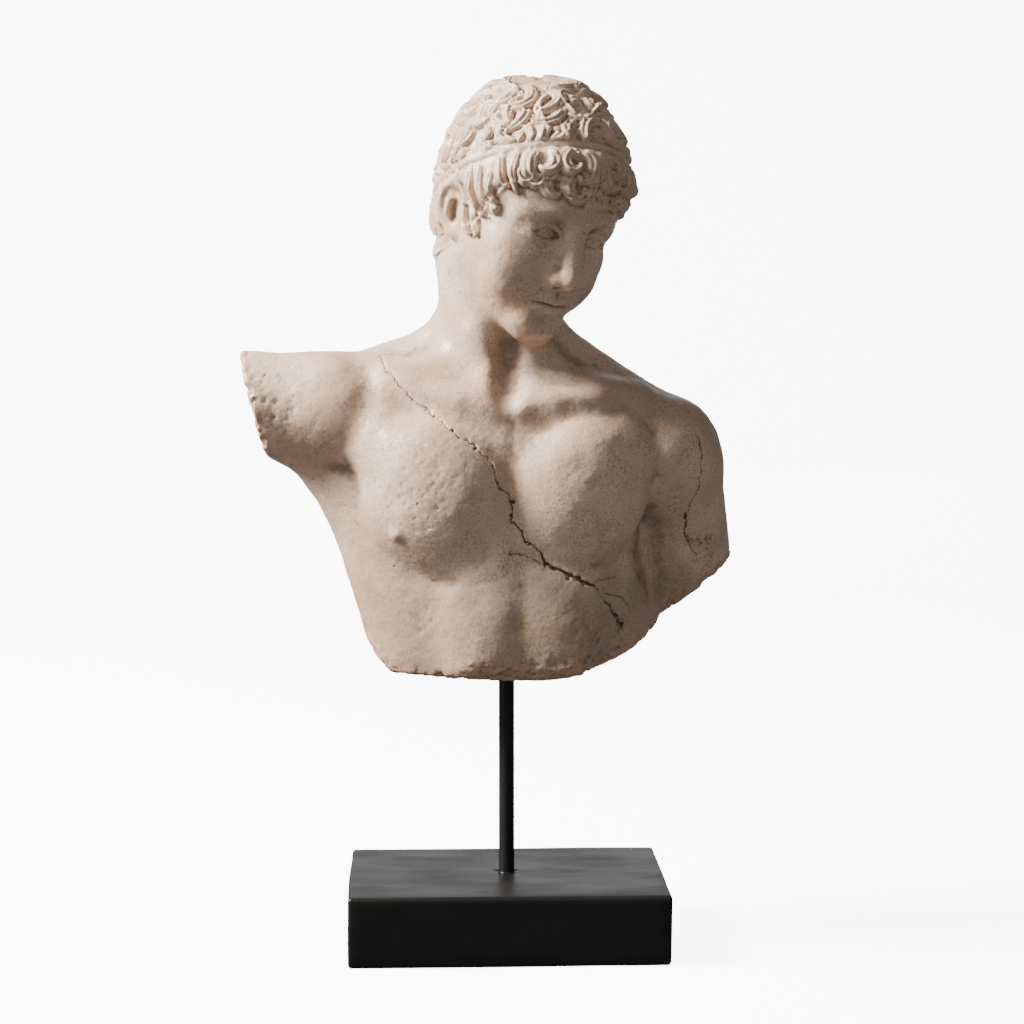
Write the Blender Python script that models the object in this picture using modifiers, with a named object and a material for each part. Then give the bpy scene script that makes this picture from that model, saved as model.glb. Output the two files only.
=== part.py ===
"""A cast bust of a youth in the antique manner, held on a rod over a black block.

The figure is modelled in clay units, millimetres of a maquette that stands on its
own lowest point with the rod's axis through its origin. The front of the figure
looks along -Y and its left hand is towards +X.
"""

from dataclasses import dataclass
import math

import bmesh
import bpy
from mathutils import Euler, Matrix, Vector
import numpy as np

# Driving dimensions, in metres
BASE_WIDTH = 0.2025
BASE_DEPTH = 0.128
BASE_HEIGHT = 0.045
BASE_EDGE = 0.003
ROD_DIAMETER = 0.010
ROD_EXPOSED = 0.130
ROD_IN_BASE = 0.030
ROD_IN_BUST = 0.045
FIT_GAP = 0.0003
BUST_HEIGHT = 0.377

# The maquette, in clay units
MAQUETTE_HEIGHT = 377.0
CLAY = BUST_HEIGHT / MAQUETTE_HEIGHT
CLAY_VOXEL = 1.5
BUST_TRIANGLES = 9000
HEAD_CENTRE = (13.0, -6.0, 291.0)
HEAD_TURN = {"yaw": 33.0, "pitch": 19.0, "roll": 10.0}
FACE_SIZE = 0.97

BODY_FINISH = {"name": "cast_marble", "colour": (0.60, 0.50, 0.43), "rough": 0.55}
BLACK_FINISH = {"name": "black_lacquer", "colour": (0.012, 0.012, 0.012), "rough": 0.4}
ROD_FINISH = {"name": "black_steel", "colour": (0.010, 0.010, 0.011), "rough": 0.35}


# Clay tools: distances to simple masses, and the ways of joining them


def turned(degrees):
    """The rotation matrix of an X, Y, Z turn in degrees."""
    return np.array(Euler([math.radians(angle) for angle in degrees]).to_matrix())


def oval(points, centre, radii, turn=(0, 0, 0)):
    """Signed distance from points to an ellipsoid, good near its skin."""
    local = points - np.array(centre)
    if any(turn):
        local = local @ turned(turn)
    radii = np.array(radii, float)
    near = np.linalg.norm(local / radii, axis=1)
    slope = np.linalg.norm(local / radii**2, axis=1)
    return near * (near - 1) / np.maximum(slope, 1e-9)


def limb(points, start, end, start_radius, end_radius):
    """Signed distance from points to a tapered limb with round ends."""
    start = np.array(start, float)
    axis = np.array(end, float) - start
    share = np.clip((points - start) @ axis / (axis @ axis), 0, 1)
    away = points - start - share[:, None] * axis
    return np.linalg.norm(away, axis=1) - start_radius - (end_radius - start_radius) * share


def strand(points, path, radii):
    """Signed distance from points to a run of limbs along a path."""
    runs = zip(path[:-1], path[1:], radii[:-1], radii[1:])
    return np.minimum.reduce([limb(points, *run) for run in runs])


def join(first, second, width):
    """The union of two masses, with a fillet of about this width."""
    lap = np.maximum(width - np.abs(first - second), 0) / width
    return np.minimum(first, second) - lap * lap * width / 4


def cut(mass, tool, width):
    """A mass with a tool taken out of it, with an edge rounded to about this width."""
    return -join(-mass, tool, width)


def ramp(values, low, high):
    """Nought below low, one above high, and smooth between."""
    share = np.clip((values - low) / (high - low), 0, 1)
    return share * share * (3 - 2 * share)


@dataclass(frozen=True)
class Oval:
    """An ellipsoid of clay, pressed on with a fillet."""

    centre: tuple
    radii: tuple
    turn: tuple = (0, 0, 0)
    fillet: float = 20.0

    def distance(self, points):
        return oval(points, self.centre, self.radii, self.turn)

    def block(self, bm, place):
        size = Matrix.Diagonal((*self.radii, 1))
        turn = Euler([math.radians(angle) for angle in self.turn]).to_matrix().to_4x4()
        matrix = place @ Matrix.Translation(self.centre) @ turn @ size
        bmesh.ops.create_icosphere(bm, subdivisions=3, radius=1, matrix=matrix)


@dataclass(frozen=True)
class Limb:
    """A tapered limb of clay with round ends, pressed on with a fillet."""

    start: tuple
    end: tuple
    start_radius: float
    end_radius: float
    fillet: float = 20.0

    def distance(self, points):
        return limb(points, self.start, self.end, self.start_radius, self.end_radius)

    def block(self, bm, place):
        start, end = Vector(self.start), Vector(self.end)
        axis = end - start
        turn = axis.to_track_quat("Z", "Y").to_matrix().to_4x4()
        middle = place @ Matrix.Translation((start + end) / 2) @ turn
        bmesh.ops.create_cone(bm, cap_ends=True, segments=24, depth=axis.length, matrix=middle,
                              radius1=self.start_radius, radius2=self.end_radius)
        for point, radius in ((start, self.start_radius), (end, self.end_radius)):
            ball = place @ Matrix.Translation(point)
            bmesh.ops.create_icosphere(bm, subdivisions=3, radius=radius, matrix=ball)


def pressed(masses, points):
    """Signed distance to masses pressed on one after another."""
    whole = masses[0].distance(points)
    for mass in masses[1:]:
        whole = join(whole, mass.distance(points), mass.fillet)
    return whole


# The body

TRUNK = [
    Oval((-6, 8, 108), (90, 54, 96), (0, -3, 0)),
    Oval((8, 8, 34), (86, 50.5, 92)),
    Limb((-82, 24, 122), (-59, 12, 16), 37, 27, 18),
    Limb((-92, 16, 112), (-136, 10, 152), 20, 16, 16),
    Limb((60, 22, 118), (64, 12, 16), 33, 30, 18),
    Limb((-80, 20, 166), (82, 20, 142), 29, 29, 26),
    Limb((-26, 32, 206), (-92, 24, 176), 20, 25, 20),
    Limb((26, 30, 204), (102, 18, 144), 20, 27, 20),
]
CHEST = [
    Oval((-46, -26.5, 115), (45, 28.5, 50), (5, 0, -16), 12),
    Oval((46, -26.5, 118), (42, 28, 48), (5, 0, 14), 12),
    Limb((-60, -20, 140), (-104, -4, 164), 22, 24, 18),
    Limb((54, -20, 138), (88, -6, 142), 21, 22, 18),
    Limb((-14, -8, 182), (-74, -2, 178), 22, 20, 16),
    Limb((14, -8, 178), (74, 2, 164), 22, 20, 16),
]
SHOULDERS = [
    Oval((-112, 6, 168), (37, 34, 34), (0, 0, 0), 10),
    Limb((-110, 12, 168), (-196, 8, 174), 33, 33, 12),
    Oval((104, 10, 136), (32, 33, 38), (0, 12, 0), 10),
    Limb((110, 20, 126), (126, 38, 20), 29, 28, 12),
]
NECK = [Limb((-8, 20, 176), (-5, 14, 258), 38, 36, 22)]
COLLAR_BONES = [
    ([(-9, -31, 172), (-30, -29, 176), (-56, -17, 183), (-84, 2, 190)], [5, 5, 5.5, 6.5]),
    ([(9, -31, 171), (30, -31, 174), (54, -22, 178), (84, -2, 172)], [5, 5, 5.5, 6.5]),
]
NECK_CORDS = [
    ([(-9, -27, 172), (-14, -19, 204), (-26, -1, 238), (-33, 12, 262)], [4.5, 8, 9, 9]),
    ([(7, -27, 172), (12, -16, 200), (22, 4, 232), (28, 18, 250)], [4, 5.5, 7.5, 8.5]),
]
NIPPLES = [(-69, -42, 93), (64, -42, 92)]

# Soft lines pressed into the front: places across and up it, how deep the line is, and its width
CREASES = [
    ([(3, 174), (2, 140), (2, 110), (5, 76)], 2.4, 7),
    ([(5, 86), (7, 60), (8, 30), (8, -6)], 1.8, 6),
    ([(-90, 92), (-72, 76), (-54, 68), (-26, 62), (4, 68)], 2.4, 6.5),
    ([(5, 106), (16, 79), (43, 71), (70, 77), (87, 100)], 2.4, 6),
    ([(-106, 202), (-90, 193), (-86, 179), (-98, 153), (-108, 138)], 1.8, 8),
    ([(78, 170), (91, 153), (91, 130), (82, 104)], 2.2, 8),
]

# Where the arms and the underside are broken off: a point on each break, and the way it faces
BREAKS = [
    ((-160, 0, 171), (-0.97, 0, -0.24)),
    ((124, 29, 52.4), (0.625, 0, -0.781)),
    ((0, 0, 0), (-0.02, 0, -1)),
    ((58, 0, 10), (0.33, 0.05, -0.943)),
    ((-76, 0, 2), (-0.77, -0.05, -0.636)),
    ((0, -45, 7), (0, -0.62, -0.785)),
    ((0, 56, 14), (0, 0.5, -0.866)),
]

# The head, in its own frame: upright, its face to -Y, its eyes at the height of the origin

SKULL = [
    Oval((0, 6, 24), (50, 60, 52), fillet=10),
    Oval((0, -16, 20), (46, 41, 36), fillet=14),
    Oval((0, 2, -4), (46, 49, 42), fillet=14),
    Oval((0, -11, -22), (41, 40, 48), (-22, 0, 0), 14),
    Limb((-28, 2, -33), (-8, -40, -59), 10, 9.5, 16),
    Limb((28, 2, -33), (8, -40, -59), 10, 9.5, 16),
    Oval((0, -43, -60), (13, 12, 10.5), fillet=12),
]
NOSE = [
    Limb((0, -43, 0), (0, -49, -22), 9, 10.5, 10),
    Limb((0, -51, 9), (0, -62, -22), 5.2, 5.2, 6),
    Oval((0, -62.5, -24.5), (6.2, 6.4, 5.6), fillet=4),
    Oval((7.4, -55, -27), (4.3, 6.8, 4.6), fillet=4),
    Oval((0, -57, -29.5), (3, 8, 2.6), fillet=3),
]
EYE = {"middle": (19, -37.6, -0.5), "ball": 12.2, "lids": 13.6, "half_width": 9.8}
EAR_PLACE = (45.5, 11, -9)
EAR_TURN = (-12, 0, -22)
HAIR = [
    Oval((0, 7, 22), (55, 66, 63), fillet=6),
    Oval((0, 28, -14), (38, 36, 32), fillet=24),
]
HAIR_CENTRE = np.array(HAIR[0].centre)
HAIR_RADIUS = 62.0
CROWN = (0, 0.45, 0.893)
# A straight little bar of stone left standing on the crown: its root and which way it lies
REMNANT = {"root": (0.203, -0.375, 0.904), "heading": -56.0, "length": 20.0, "width": 5.2, "height": 7.5}
BAND = {"height": 25.0, "fall": 0.71, "half_width": 1.7}
DRILLED = 2.4
ROLL = 4.2


def head_matrix():
    """The place of the head's frame in the maquette."""
    yaw = Matrix.Rotation(math.radians(HEAD_TURN["yaw"]), 4, "Z")
    pitch = Matrix.Rotation(math.radians(HEAD_TURN["pitch"]), 4, "X")
    roll = Matrix.Rotation(math.radians(HEAD_TURN["roll"]), 4, "Y")
    return Matrix.Translation(HEAD_CENTRE) @ yaw @ pitch @ roll


def in_head(points):
    """Points of the maquette in the head's own frame."""
    back = np.array(head_matrix().inverted())
    return points @ back[:3, :3].T + back[:3, 3]


def body_distance(p):
    """Signed distance to the trunk, shoulders and neck."""
    whole = pressed(TRUNK, p)
    whole = join(whole, pressed(CHEST, p), 9)
    for mass in SHOULDERS:
        whole = join(whole, mass.distance(p), mass.fillet)
    whole = join(whole, NECK[0].distance(p), NECK[0].fillet)
    for path, radii in COLLAR_BONES:
        whole = join(whole, strand(p, path, radii), 14)
    for path, radii in NECK_CORDS:
        whole = join(whole, strand(p, path, radii), 13)
    # The pit of the neck, the throat, and the hollows above the collar bones
    whole = cut(whole, oval(p, (-1, -43, 183), (7, 8, 9)), 10)
    whole = cut(whole, oval(p, (3, -34, 206), (13, 16, 23)), 14)
    whole = cut(whole, oval(p, (-38, -32, 201), (20, 9, 9)), 16)
    whole = cut(whole, oval(p, (40, -28, 198), (20, 9, 9)), 16)
    # The groove of the breastbone, and the white line below it
    whole = cut(whole, strand(p, [(0, -61, 162), (3, -62.5, 120), (7, -60.5, 74)], [6, 6, 7]), 13)
    whole = cut(whole, strand(p, [(7, -56, 74), (9, -54, 44), (10, -54, -6)], [4, 3, 3]), 12)
    # The arch of the ribs over the belly
    whole = join(whole, oval(p, (-14, -33, 34), (24, 14, 44), (0, 0, -6)), 14)
    whole = join(whole, oval(p, (34, -33, 34), (23, 14, 44), (0, 0, 6)), 14)
    whole = cut(whole, strand(p, [(-6, -58, 60), (-34, -57.5, 46), (-56, -52, 12)], [3, 4, 4]), 14)
    whole = cut(whole, strand(p, [(20, -58, 60), (46, -57.5, 48), (68, -52, 20)], [3, 4, 4]), 14)
    for nipple in NIPPLES:
        whole = join(whole, oval(p, nipple, (2.4, 2.4, 2)), 6)
    for path, depth, width in CREASES:
        route = [(across, 0, up) for across, up in path]
        ends = -1.5 * width
        away = strand(p * (1, 0, 1), route, [ends, *[0.0] * (len(path) - 2), ends])
        whole = whole + depth * np.exp(-((away / width) ** 2)) * ramp(-p[:, 1], -4, 10)
    return whole


def face_distance(q):
    """Signed distance to the bare head, with q mirrored onto its left half."""
    face = pressed(SKULL, q)
    # Cheekbone, cheek, brow, eye socket and the swell of the jaws behind the lips
    face = join(face, oval(q, (28, -31, -14), (14, 12, 9), (0, 0, 30)), 14)
    face = join(face, oval(q, (25, -34, -31), (14, 12, 15)), 14)
    face = join(face, oval(q, (14, -41, -17), (10, 8, 13)), 12)
    brow = strand(q, [(4, -50.5, 8.5), (18, -50, 11.5), (34, -37, 7)], [5, 5, 4.5])
    face = join(face, brow, 8)
    face = cut(face, oval(q, (19, -57, 2.5), (13, 10, 8)), 7)
    face = join(face, oval(q, (0, -39, -40), (19, 15, 16)), 10)
    for mass in NOSE:
        face = join(face, mass.distance(q), mass.fillet)
    return cut(face, oval(q, (3.7, -58.5, -31.6), (1.9, 3.4, 2.2)), 1.5)


def eye_distance(q, face):
    """The face with an eyeball and its lids."""
    away = np.linalg.norm(q - np.array(EYE["middle"]), axis=1)
    across = (q[:, 0] - EYE["middle"][0]) / EYE["half_width"]
    gap = np.clip(1 - across**2, 0, None)
    level = q[:, 2] + 1.6
    opening = np.maximum(level - 4.4 * gap, -3.0 * gap - level)
    opening = opening + 10 * np.maximum(np.abs(across) - 1, 0)
    face = join(face, away - EYE["lids"], 4)
    arch = q[:, 2] - 1.6 - 4.6 * np.sqrt(gap)
    face = face + 0.6 * np.exp(-((arch / 0.9) ** 2)) * ramp(gap, 0, 0.3) * (q[:, 1] < -30)
    face = cut(face, np.maximum(opening, away - 16), 1.2)
    return join(face, away - EYE["ball"], 0.8)


def mouth_distance(q, face):
    """The face with its lips and the line between them."""
    upper = [(14.5, -48.5, -43.8), (9, -52.8, -41.8), (3, -55, -40.4), (0, -54.8, -41)]
    lower = [(13.5, -48.6, -45.6), (8, -52.4, -47.4), (0, -54, -48.2)]
    face = join(face, strand(q, upper, [1.2, 2.4, 2.9, 2.7]), 3)
    face = join(face, strand(q, lower, [1.3, 3.1, 3.9]), 3)
    line = q[:, 2] - np.interp(q[:, 0], (0, 3, 9, 15), (-44.6, -43.9, -43.8, -44.8))
    front = (q[:, 1] < -30) * (1 - ramp(q[:, 0], 10.5, 16.5))
    face = face + 1.7 * np.exp(-((line / 0.9) ** 2)) * front
    over_lip = ramp(q[:, 2], -41, -38) * (1 - ramp(q[:, 2], -37, -33.5))
    face = face + 0.7 * np.exp(-((q[:, 0] / 1.7) ** 2)) * over_lip * front
    return cut(face, oval(q, (0, -59, -54.6), (11, 5, 3)), 8)


def ear_distance(q):
    """Signed distance to an ear, with its rim, fold, bowl and lobe."""
    ear = (q - np.array(EAR_PLACE)) @ turned(EAR_TURN)
    helix = [(0, -6, -3), (0.6, -8, 5), (1.6, -4, 13), (2.4, 3, 15.5), (2.6, 9, 11), (2.2, 10.5, 2),
             (1.6, 8, -7), (0.6, 3, -14)]
    fold = [(1.2, 1, 10), (2, 4.4, 4), (2, 4, -3), (1, 0.5, -8.5)]
    shell = oval(ear, (0, 1, 0), (3.4, 10, 16))
    shell = join(shell, oval(ear, (-5, -2, -1), (7, 6, 12)), 4)
    shell = join(shell, strand(ear, helix, [1.4, 1.8, 2.1, 2.3, 2.3, 2.1, 1.9, 2.4]), 1.6)
    shell = join(shell, strand(ear, fold, [1.2, 1.7, 1.8, 1.5]), 1.6)
    shell = cut(shell, strand(ear, [(4.6, -2, 9), (4.8, 4, 11), (4.8, 7.4, 4)], [1.6, 1.7, 1.6]), 1.4)
    shell = cut(shell, oval(ear, (3.4, -1, -2), (6.5, 4.8, 8)), 1.6)
    shell = join(shell, oval(ear, (1.4, -6.4, -3.6), (2.2, 2.2, 3.2)), 2)
    return join(shell, oval(ear, (0.4, -1, -15), (2.7, 4.6, 4.6)), 3)


def hairline_height(angle):
    """Height of the hairline at angles in degrees round the head from the face."""
    angles = (0, 25, 42, 56, 66, 76, 84, 92, 104, 113, 130, 180)
    heights = (31, 30, 28, 22, 6, -13, -12, 4, 6, -20, -36, -44)
    return np.interp(np.abs(angle), angles, heights)


def hairline(q):
    """Distance above the hairline, measured square to it where it runs steeply."""
    angle = np.degrees(np.arctan2(q[:, 0], -q[:, 1]))
    run = 2 * math.radians(3) * HAIR_RADIUS
    slope = (hairline_height(angle + 3) - hairline_height(angle - 3)) / run
    return (q[:, 2] - hairline_height(angle)) / np.hypot(1, slope)


def band_height(q):
    """Distance above the middle of the band tied round the hair."""
    slope = BAND["fall"]
    return (q[:, 2] - BAND["height"] + slope * q[:, 1]) / math.hypot(1, slope)


@dataclass(frozen=True)
class Lock:
    """A curling lock of hair lying on the head, from its root to its pointed tip."""

    root: tuple
    heading: float
    length: float
    width: float
    height: float
    hook: float
    wave: float = 0.0
    drilled: float = 1.8

    def frame(self):
        """Unit vectors: out of the head at the root, along the lock, and across it."""
        out = np.array(self.root)
        away = out * (out @ CROWN) - CROWN
        away = away / max(np.linalg.norm(away), 1e-6)
        turn = math.radians(self.heading)
        along = away * math.cos(turn) + np.cross(out, away) * math.sin(turn)
        return out, along, np.cross(out, along)

    def spine(self, steps=24):
        """Points along the lock on the flat, with the direction and share at each."""
        share = np.linspace(0, 1, steps)
        angle = np.radians(self.hook * share**1.6 + self.wave * np.sin(2 * math.pi * share))
        direction = np.stack([np.cos(angle), np.sin(angle)], axis=1)
        walked = np.cumsum(direction, axis=0) * self.length / steps
        return walked - walked[0], direction, share

    def near(self, unit):
        """Which unit directions lie near the lock, and where they fall on its flat."""
        out, along, across = self.frame()
        flat = HAIR_RADIUS * np.stack([unit @ along, unit @ across], axis=1)
        reach = self.length + self.width
        chosen = np.flatnonzero((unit @ out > 0.5) & (np.abs(flat).max(axis=1) < reach))
        return chosen, flat[chosen]

    def raise_on(self, height, unit):
        """Lays the lock over heights already there, with a drilled line round its edge."""
        chosen, flat = self.near(unit)
        points, direction, share = self.spine()
        gap = flat[:, None, :] - points[None]
        nearest = np.argmin((gap**2).sum(axis=2), axis=1)
        gap = gap[np.arange(len(chosen)), nearest]
        heading = direction[nearest]
        onward = (gap * heading).sum(axis=1)
        s = np.clip(share[nearest] + onward / self.length, 0, 1)
        sideways = gap[:, 1] * heading[:, 0] - gap[:, 0] * heading[:, 1]
        leaf = np.sin(math.pi * (0.12 + 0.88 * s) ** 0.85) ** 0.65
        half = np.maximum(self.width / 2 * leaf, 0.05)
        before = 1 - ramp(-onward * (nearest == 0), 0.3, 2.5)
        lift = before * (0.45 + 0.55 * ramp(s, 0, 0.6))
        dome = np.clip(1 - (sideways / half) ** 2, 0, 1) ** 0.7
        beside = np.abs(sideways) - half
        inner = (sideways * self.hook > 0) * ramp(s, 0.3, 0.6)
        moat = 1.1 * (1 - ramp(np.abs(beside), 0.2, 1.5)) * ramp(s, 0.12, 0.4)
        moat = np.maximum(moat, self.drilled * inner * (1 - ramp(np.abs(beside), 0.6, 2.9)))
        past = onward * (nearest == len(share) - 1) > 0.6
        moat = np.where(past, 0, moat * before)
        sunk = np.maximum(height[chosen] - moat, -1.4)
        height[chosen] = np.maximum(sunk, self.height * lift * dome)


def about(rng, middle, spread):
    """A number near the middle."""
    return middle + spread * (2 * rng.random() - 1)


def on_crown(down, around):
    """The direction from the hair's centre, down from the crown and round from the face."""
    crown = np.array(CROWN) / np.linalg.norm(CROWN)
    face = np.array([0, -1, 0]) + crown * crown[1]
    face = face / np.linalg.norm(face)
    down, around = math.radians(down), math.radians(around)
    flat = face * math.cos(around) + np.cross(face, crown) * math.sin(around)
    return crown * math.cos(down) + flat * math.sin(down)


def on_cap(angle, height):
    """The direction from the hair's centre to the cap, round from the face and at a height."""
    radii = np.array(HAIR[0].radii)
    level = min(max((height - HAIR_CENTRE[2]) / radii[2], -0.95), 0.95)
    round_cap = math.sqrt(1 - level**2)
    angle = math.radians(angle)
    point = radii * (math.sin(angle) * round_cap, -math.cos(angle) * round_cap, level)
    return point / np.linalg.norm(point)


def under_band(angle, below):
    """The height of the place on the cap that lies this far below the band."""
    heights = np.arange(-50, 80, 0.5)
    places = HAIR_CENTRE + HAIR_RADIUS * np.array([on_cap(angle, height) for height in heights])
    return float(np.interp(-below, band_height(places), heights))


def crown_locks(rng):
    """Waving locks from the crown down to the band, the lowest row first."""
    locks = []
    for row, down in enumerate((100, 88, 76, 64, 52, 40, 28, 15)):
        count = max(4, round(2 * math.pi * HAIR_RADIUS * math.sin(math.radians(down)) / 12))
        for place in range(count):
            around = about(rng, (place + 0.5 * (row % 2)) * 360 / count, 4)
            around = (around + 180) % 360 - 180
            sway = 38 * math.sin(math.radians(2.5 * around + 4 * down))
            front = abs(around) < 60
            side = 1 if rng.random() < (0.72 if around < 25 else 0.3) else -1
            if front:
                lean, hook, wave = 42, about(rng, 115, 35), about(rng, 26, 10)
                shape = about(rng, 36, 5), about(rng, 10.5, 1.8), about(rng, 5.2, 0.6)
            else:
                lean, hook, wave = 15, about(rng, 85, 30), about(rng, 24, 8)
                shape = about(rng, 27, 4), about(rng, 9.6, 1.2), about(rng, 4.6, 0.4)
            root = on_crown(about(rng, down, 3), around)
            locks.append(Lock(root, sway - lean * side, *shape, side * hook, -side * wave))
    bar = [REMNANT[name] for name in ("root", "heading", "length", "width", "height")]
    return [*locks, Lock(*bar, 0)]


def lower_locks(rng):
    """Locks under the band: hooked curls over the brow, sickles at the temples, short ones behind."""
    locks = []
    for tier in range(5):
        for place in range(-17, 17):
            around = about(rng, 10.6 * place + 5.3 * (tier % 2), 2.5)
            height = float(hairline_height(around)) + about(rng, 10 + 12 * tier, 2)
            top = under_band(around, about(rng, 4, 2))
            if height > top + 7:
                continue
            root = on_cap(around, min(height, top))
            side = 1 if around < 0 else -1
            if abs(around) < 52:
                side = 1 if rng.random() < (0.85 if around < 20 else 0.3) else -1
                shape = about(rng, 25, 4), about(rng, 10.4, 1.6), about(rng, 5.6, 0.8)
                heading, hook = about(rng, -45, 15), about(rng, 200, 35)
            elif abs(around) < 100:
                shape = about(rng, 27, 3), about(rng, 8.4, 1.2), about(rng, 4.8, 0.5)
                heading, hook = about(rng, -16, 8), about(rng, 75, 22)
            else:
                shape = about(rng, 21, 3), about(rng, 8.4, 0.8), about(rng, 4, 0.4)
                heading, hook = about(rng, 0, 25), about(rng, 60, 30)
            locks.append(Lock(root, heading * side, *shape, side * hook))
    return locks


def hair_relief(q):
    """How far the skin of the head rises or sinks for its hair, at points in the head's frame."""
    rng = np.random.default_rng(11)
    unit = q - HAIR_CENTRE
    unit = unit / np.linalg.norm(unit, axis=1)[:, None]
    rises = []
    for locks in (lower_locks(rng), crown_locks(rng)):
        rise = np.zeros(len(q))
        for lock in locks:
            lock.raise_on(rise, unit)
        rises.append(rise)
    over, line = band_height(q), hairline(q)
    hair = ramp(line, -1, 2)
    angle = np.abs(np.degrees(np.arctan2(q[:, 0], -q[:, 1])))
    swell = ROLL * (1 - 0.6 * ramp(angle, 40, 85)) * ramp(-over, 0, 7) * ramp(line, -4, 6)
    under = np.maximum(rises[0], -1.4 * hair) * ramp(line, -12, -6) + swell
    rise = np.where(over < 0, under, rises[1])
    band = 1 - ramp(np.abs(over), BAND["half_width"] - 0.6, BAND["half_width"] + 1.4)
    return (rise - DRILLED * hair) * (1 - band) - 0.4 * band * hair


def hair_distance(q):
    """Signed distance to the mass of the hair, before its locks."""
    cap = pressed(HAIR, q)
    return cut(cap, hairline(q) * 0.8, 6)


def head_distance(points):
    """Signed distance to the whole head, in clay units."""
    q = in_head(points)
    q[:, 0] = np.abs(q[:, 0])
    small = q / FACE_SIZE
    face = face_distance(small)
    face = eye_distance(small, face)
    face = mouth_distance(small, face) * FACE_SIZE
    face = join(face, hair_distance(q), 3)
    return join(face, ear_distance(q), 4)


def bust_distance(points):
    """Signed distance to the whole bust."""
    body = body_distance(points)
    body = join(body, head_distance(points), 10)
    for middle, facing in BREAKS:
        body = cut(body, (np.array(middle) - points) @ np.array(facing), 4)
    return body


def blockout():
    """The masses stood in one mesh, overlapping, ready to be fused."""
    bm = bmesh.new()
    for mass in TRUNK + CHEST + SHOULDERS + NECK:
        mass.block(bm, Matrix.Identity(4))
    for mass in SKULL + NOSE + HAIR:
        mass.block(bm, head_matrix())
    for side in (-1, 1):
        tilt, _, flare = EAR_TURN
        place = (side * EAR_PLACE[0], EAR_PLACE[1], EAR_PLACE[2])
        Oval(place, (6, 11, 17), (tilt, 0, side * flare)).block(bm, head_matrix())
    mesh = bpy.data.meshes.new("clay")
    bm.to_mesh(mesh)
    bm.free()
    return mesh


def trimmed(mesh):
    """A skin cut off flat at the breaks and the underside."""
    bm = bmesh.new()
    bm.from_mesh(mesh)
    for middle, facing in BREAKS:
        whole = bm.verts[:] + bm.edges[:] + bm.faces[:]
        rim = bmesh.ops.bisect_plane(bm, geom=whole, plane_co=middle, plane_no=facing,
                                     clear_outer=True)
        edges = [part for part in rim["geom_cut"] if isinstance(part, bmesh.types.BMEdge)]
        bmesh.ops.holes_fill(bm, edges=edges)
    bm.to_mesh(mesh)
    bm.free()
    return mesh


def evaluated_mesh(obj):
    """The mesh that an object's modifiers give, as a new mesh."""
    graph = bpy.context.evaluated_depsgraph_get()
    return bpy.data.meshes.new_from_object(obj.evaluated_get(graph))


def fused(mesh, voxel):
    """A mesh made one even skin by a voxel remesh."""
    obj = bpy.data.objects.new("fusing", mesh)
    bpy.context.scene.collection.objects.link(obj)
    remesh = obj.modifiers.new("fuse", "REMESH")
    remesh.mode = "VOXEL"
    remesh.voxel_size = voxel
    skin = evaluated_mesh(obj)
    bpy.data.objects.remove(obj)
    bpy.data.meshes.remove(mesh)
    return skin


def corners(mesh):
    """A mesh's vertex positions as an array."""
    flat = np.empty(len(mesh.vertices) * 3, np.float32)
    mesh.vertices.foreach_get("co", flat)
    return flat.reshape(-1, 3).astype(float)


def outward(mesh):
    """A mesh's vertex normals as an array."""
    flat = np.empty(len(mesh.vertices) * 3, np.float32)
    mesh.vertex_normals.foreach_get("vector", flat)
    return flat.reshape(-1, 3).astype(float)


def move(mesh, points):
    """Puts a mesh's vertices at these points."""
    mesh.vertices.foreach_set("co", points.astype(np.float32).ravel())
    mesh.update()


def settle(mesh, distance, rounds, reach):
    """Moves a skin onto the surface where distance is nought."""
    for _ in range(rounds):
        points = corners(mesh)
        step = np.clip(distance(points), -reach, reach)
        move(mesh, points - step[:, None] * outward(mesh))


def relax(mesh, rounds):
    """Evens out a skin's vertices."""
    bm = bmesh.new()
    bm.from_mesh(mesh)
    for _ in range(rounds):
        bmesh.ops.smooth_vert(bm, verts=bm.verts, factor=0.5, use_axis_x=True, use_axis_y=True,
                              use_axis_z=True)
    bm.to_mesh(mesh)
    bm.free()
    mesh.update()


def comb(mesh):
    """Raises the locks of hair on the bust's skin, clear of the ears."""
    points = corners(mesh)
    q = in_head(points)
    near = np.flatnonzero((q[:, 2] > -60) & (np.linalg.norm(q, axis=1) < 110) & (points[:, 2] > 215))
    unit = q[near] - HAIR_CENTRE
    unit = unit / np.linalg.norm(unit, axis=1)[:, None]
    turn = np.array(head_matrix())[:3, :3]
    clear = ramp(ear_distance(np.abs(q[near]) * (1, 0, 0) + q[near] * (0, 1, 1)), 0.8, 4)
    raised = unit @ turn.T
    clear *= ramp((outward(mesh)[near] * raised).sum(axis=1), 0.05, 0.45)
    points[near] += (clear * hair_relief(q[near]))[:, None] * raised
    move(mesh, points)


def bust_skin(voxel):
    """The bust's skin in clay units, at this size of facet."""
    skin = fused(trimmed(fused(blockout(), voxel)), voxel)
    settle(skin, bust_distance, 3, 3 * voxel)
    relax(skin, 2)
    settle(skin, bust_distance, 2, voxel)
    skin = fused(skin, voxel)
    settle(skin, bust_distance, 2, voxel)
    relax(skin, 1)
    settle(skin, bust_distance, 2, voxel)
    return skin


def sculpted(voxel):
    """The finished skin of the bust in clay units, locks and all."""
    skin = bust_skin(voxel)
    comb(skin)
    return skin


# The object, in metres


def new_collection(name):
    """A collection in the scene."""
    collection = bpy.data.collections.new(name)
    bpy.context.scene.collection.children.link(collection)
    return collection


def new_material(finish):
    """A plain material from a finish."""
    material = bpy.data.materials.new(finish["name"])
    material.use_nodes = True
    shader = material.node_tree.nodes["Principled BSDF"]
    shader.inputs["Base Color"].default_value = (*finish["colour"], 1)
    shader.inputs["Roughness"].default_value = finish["rough"]
    return material


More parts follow.
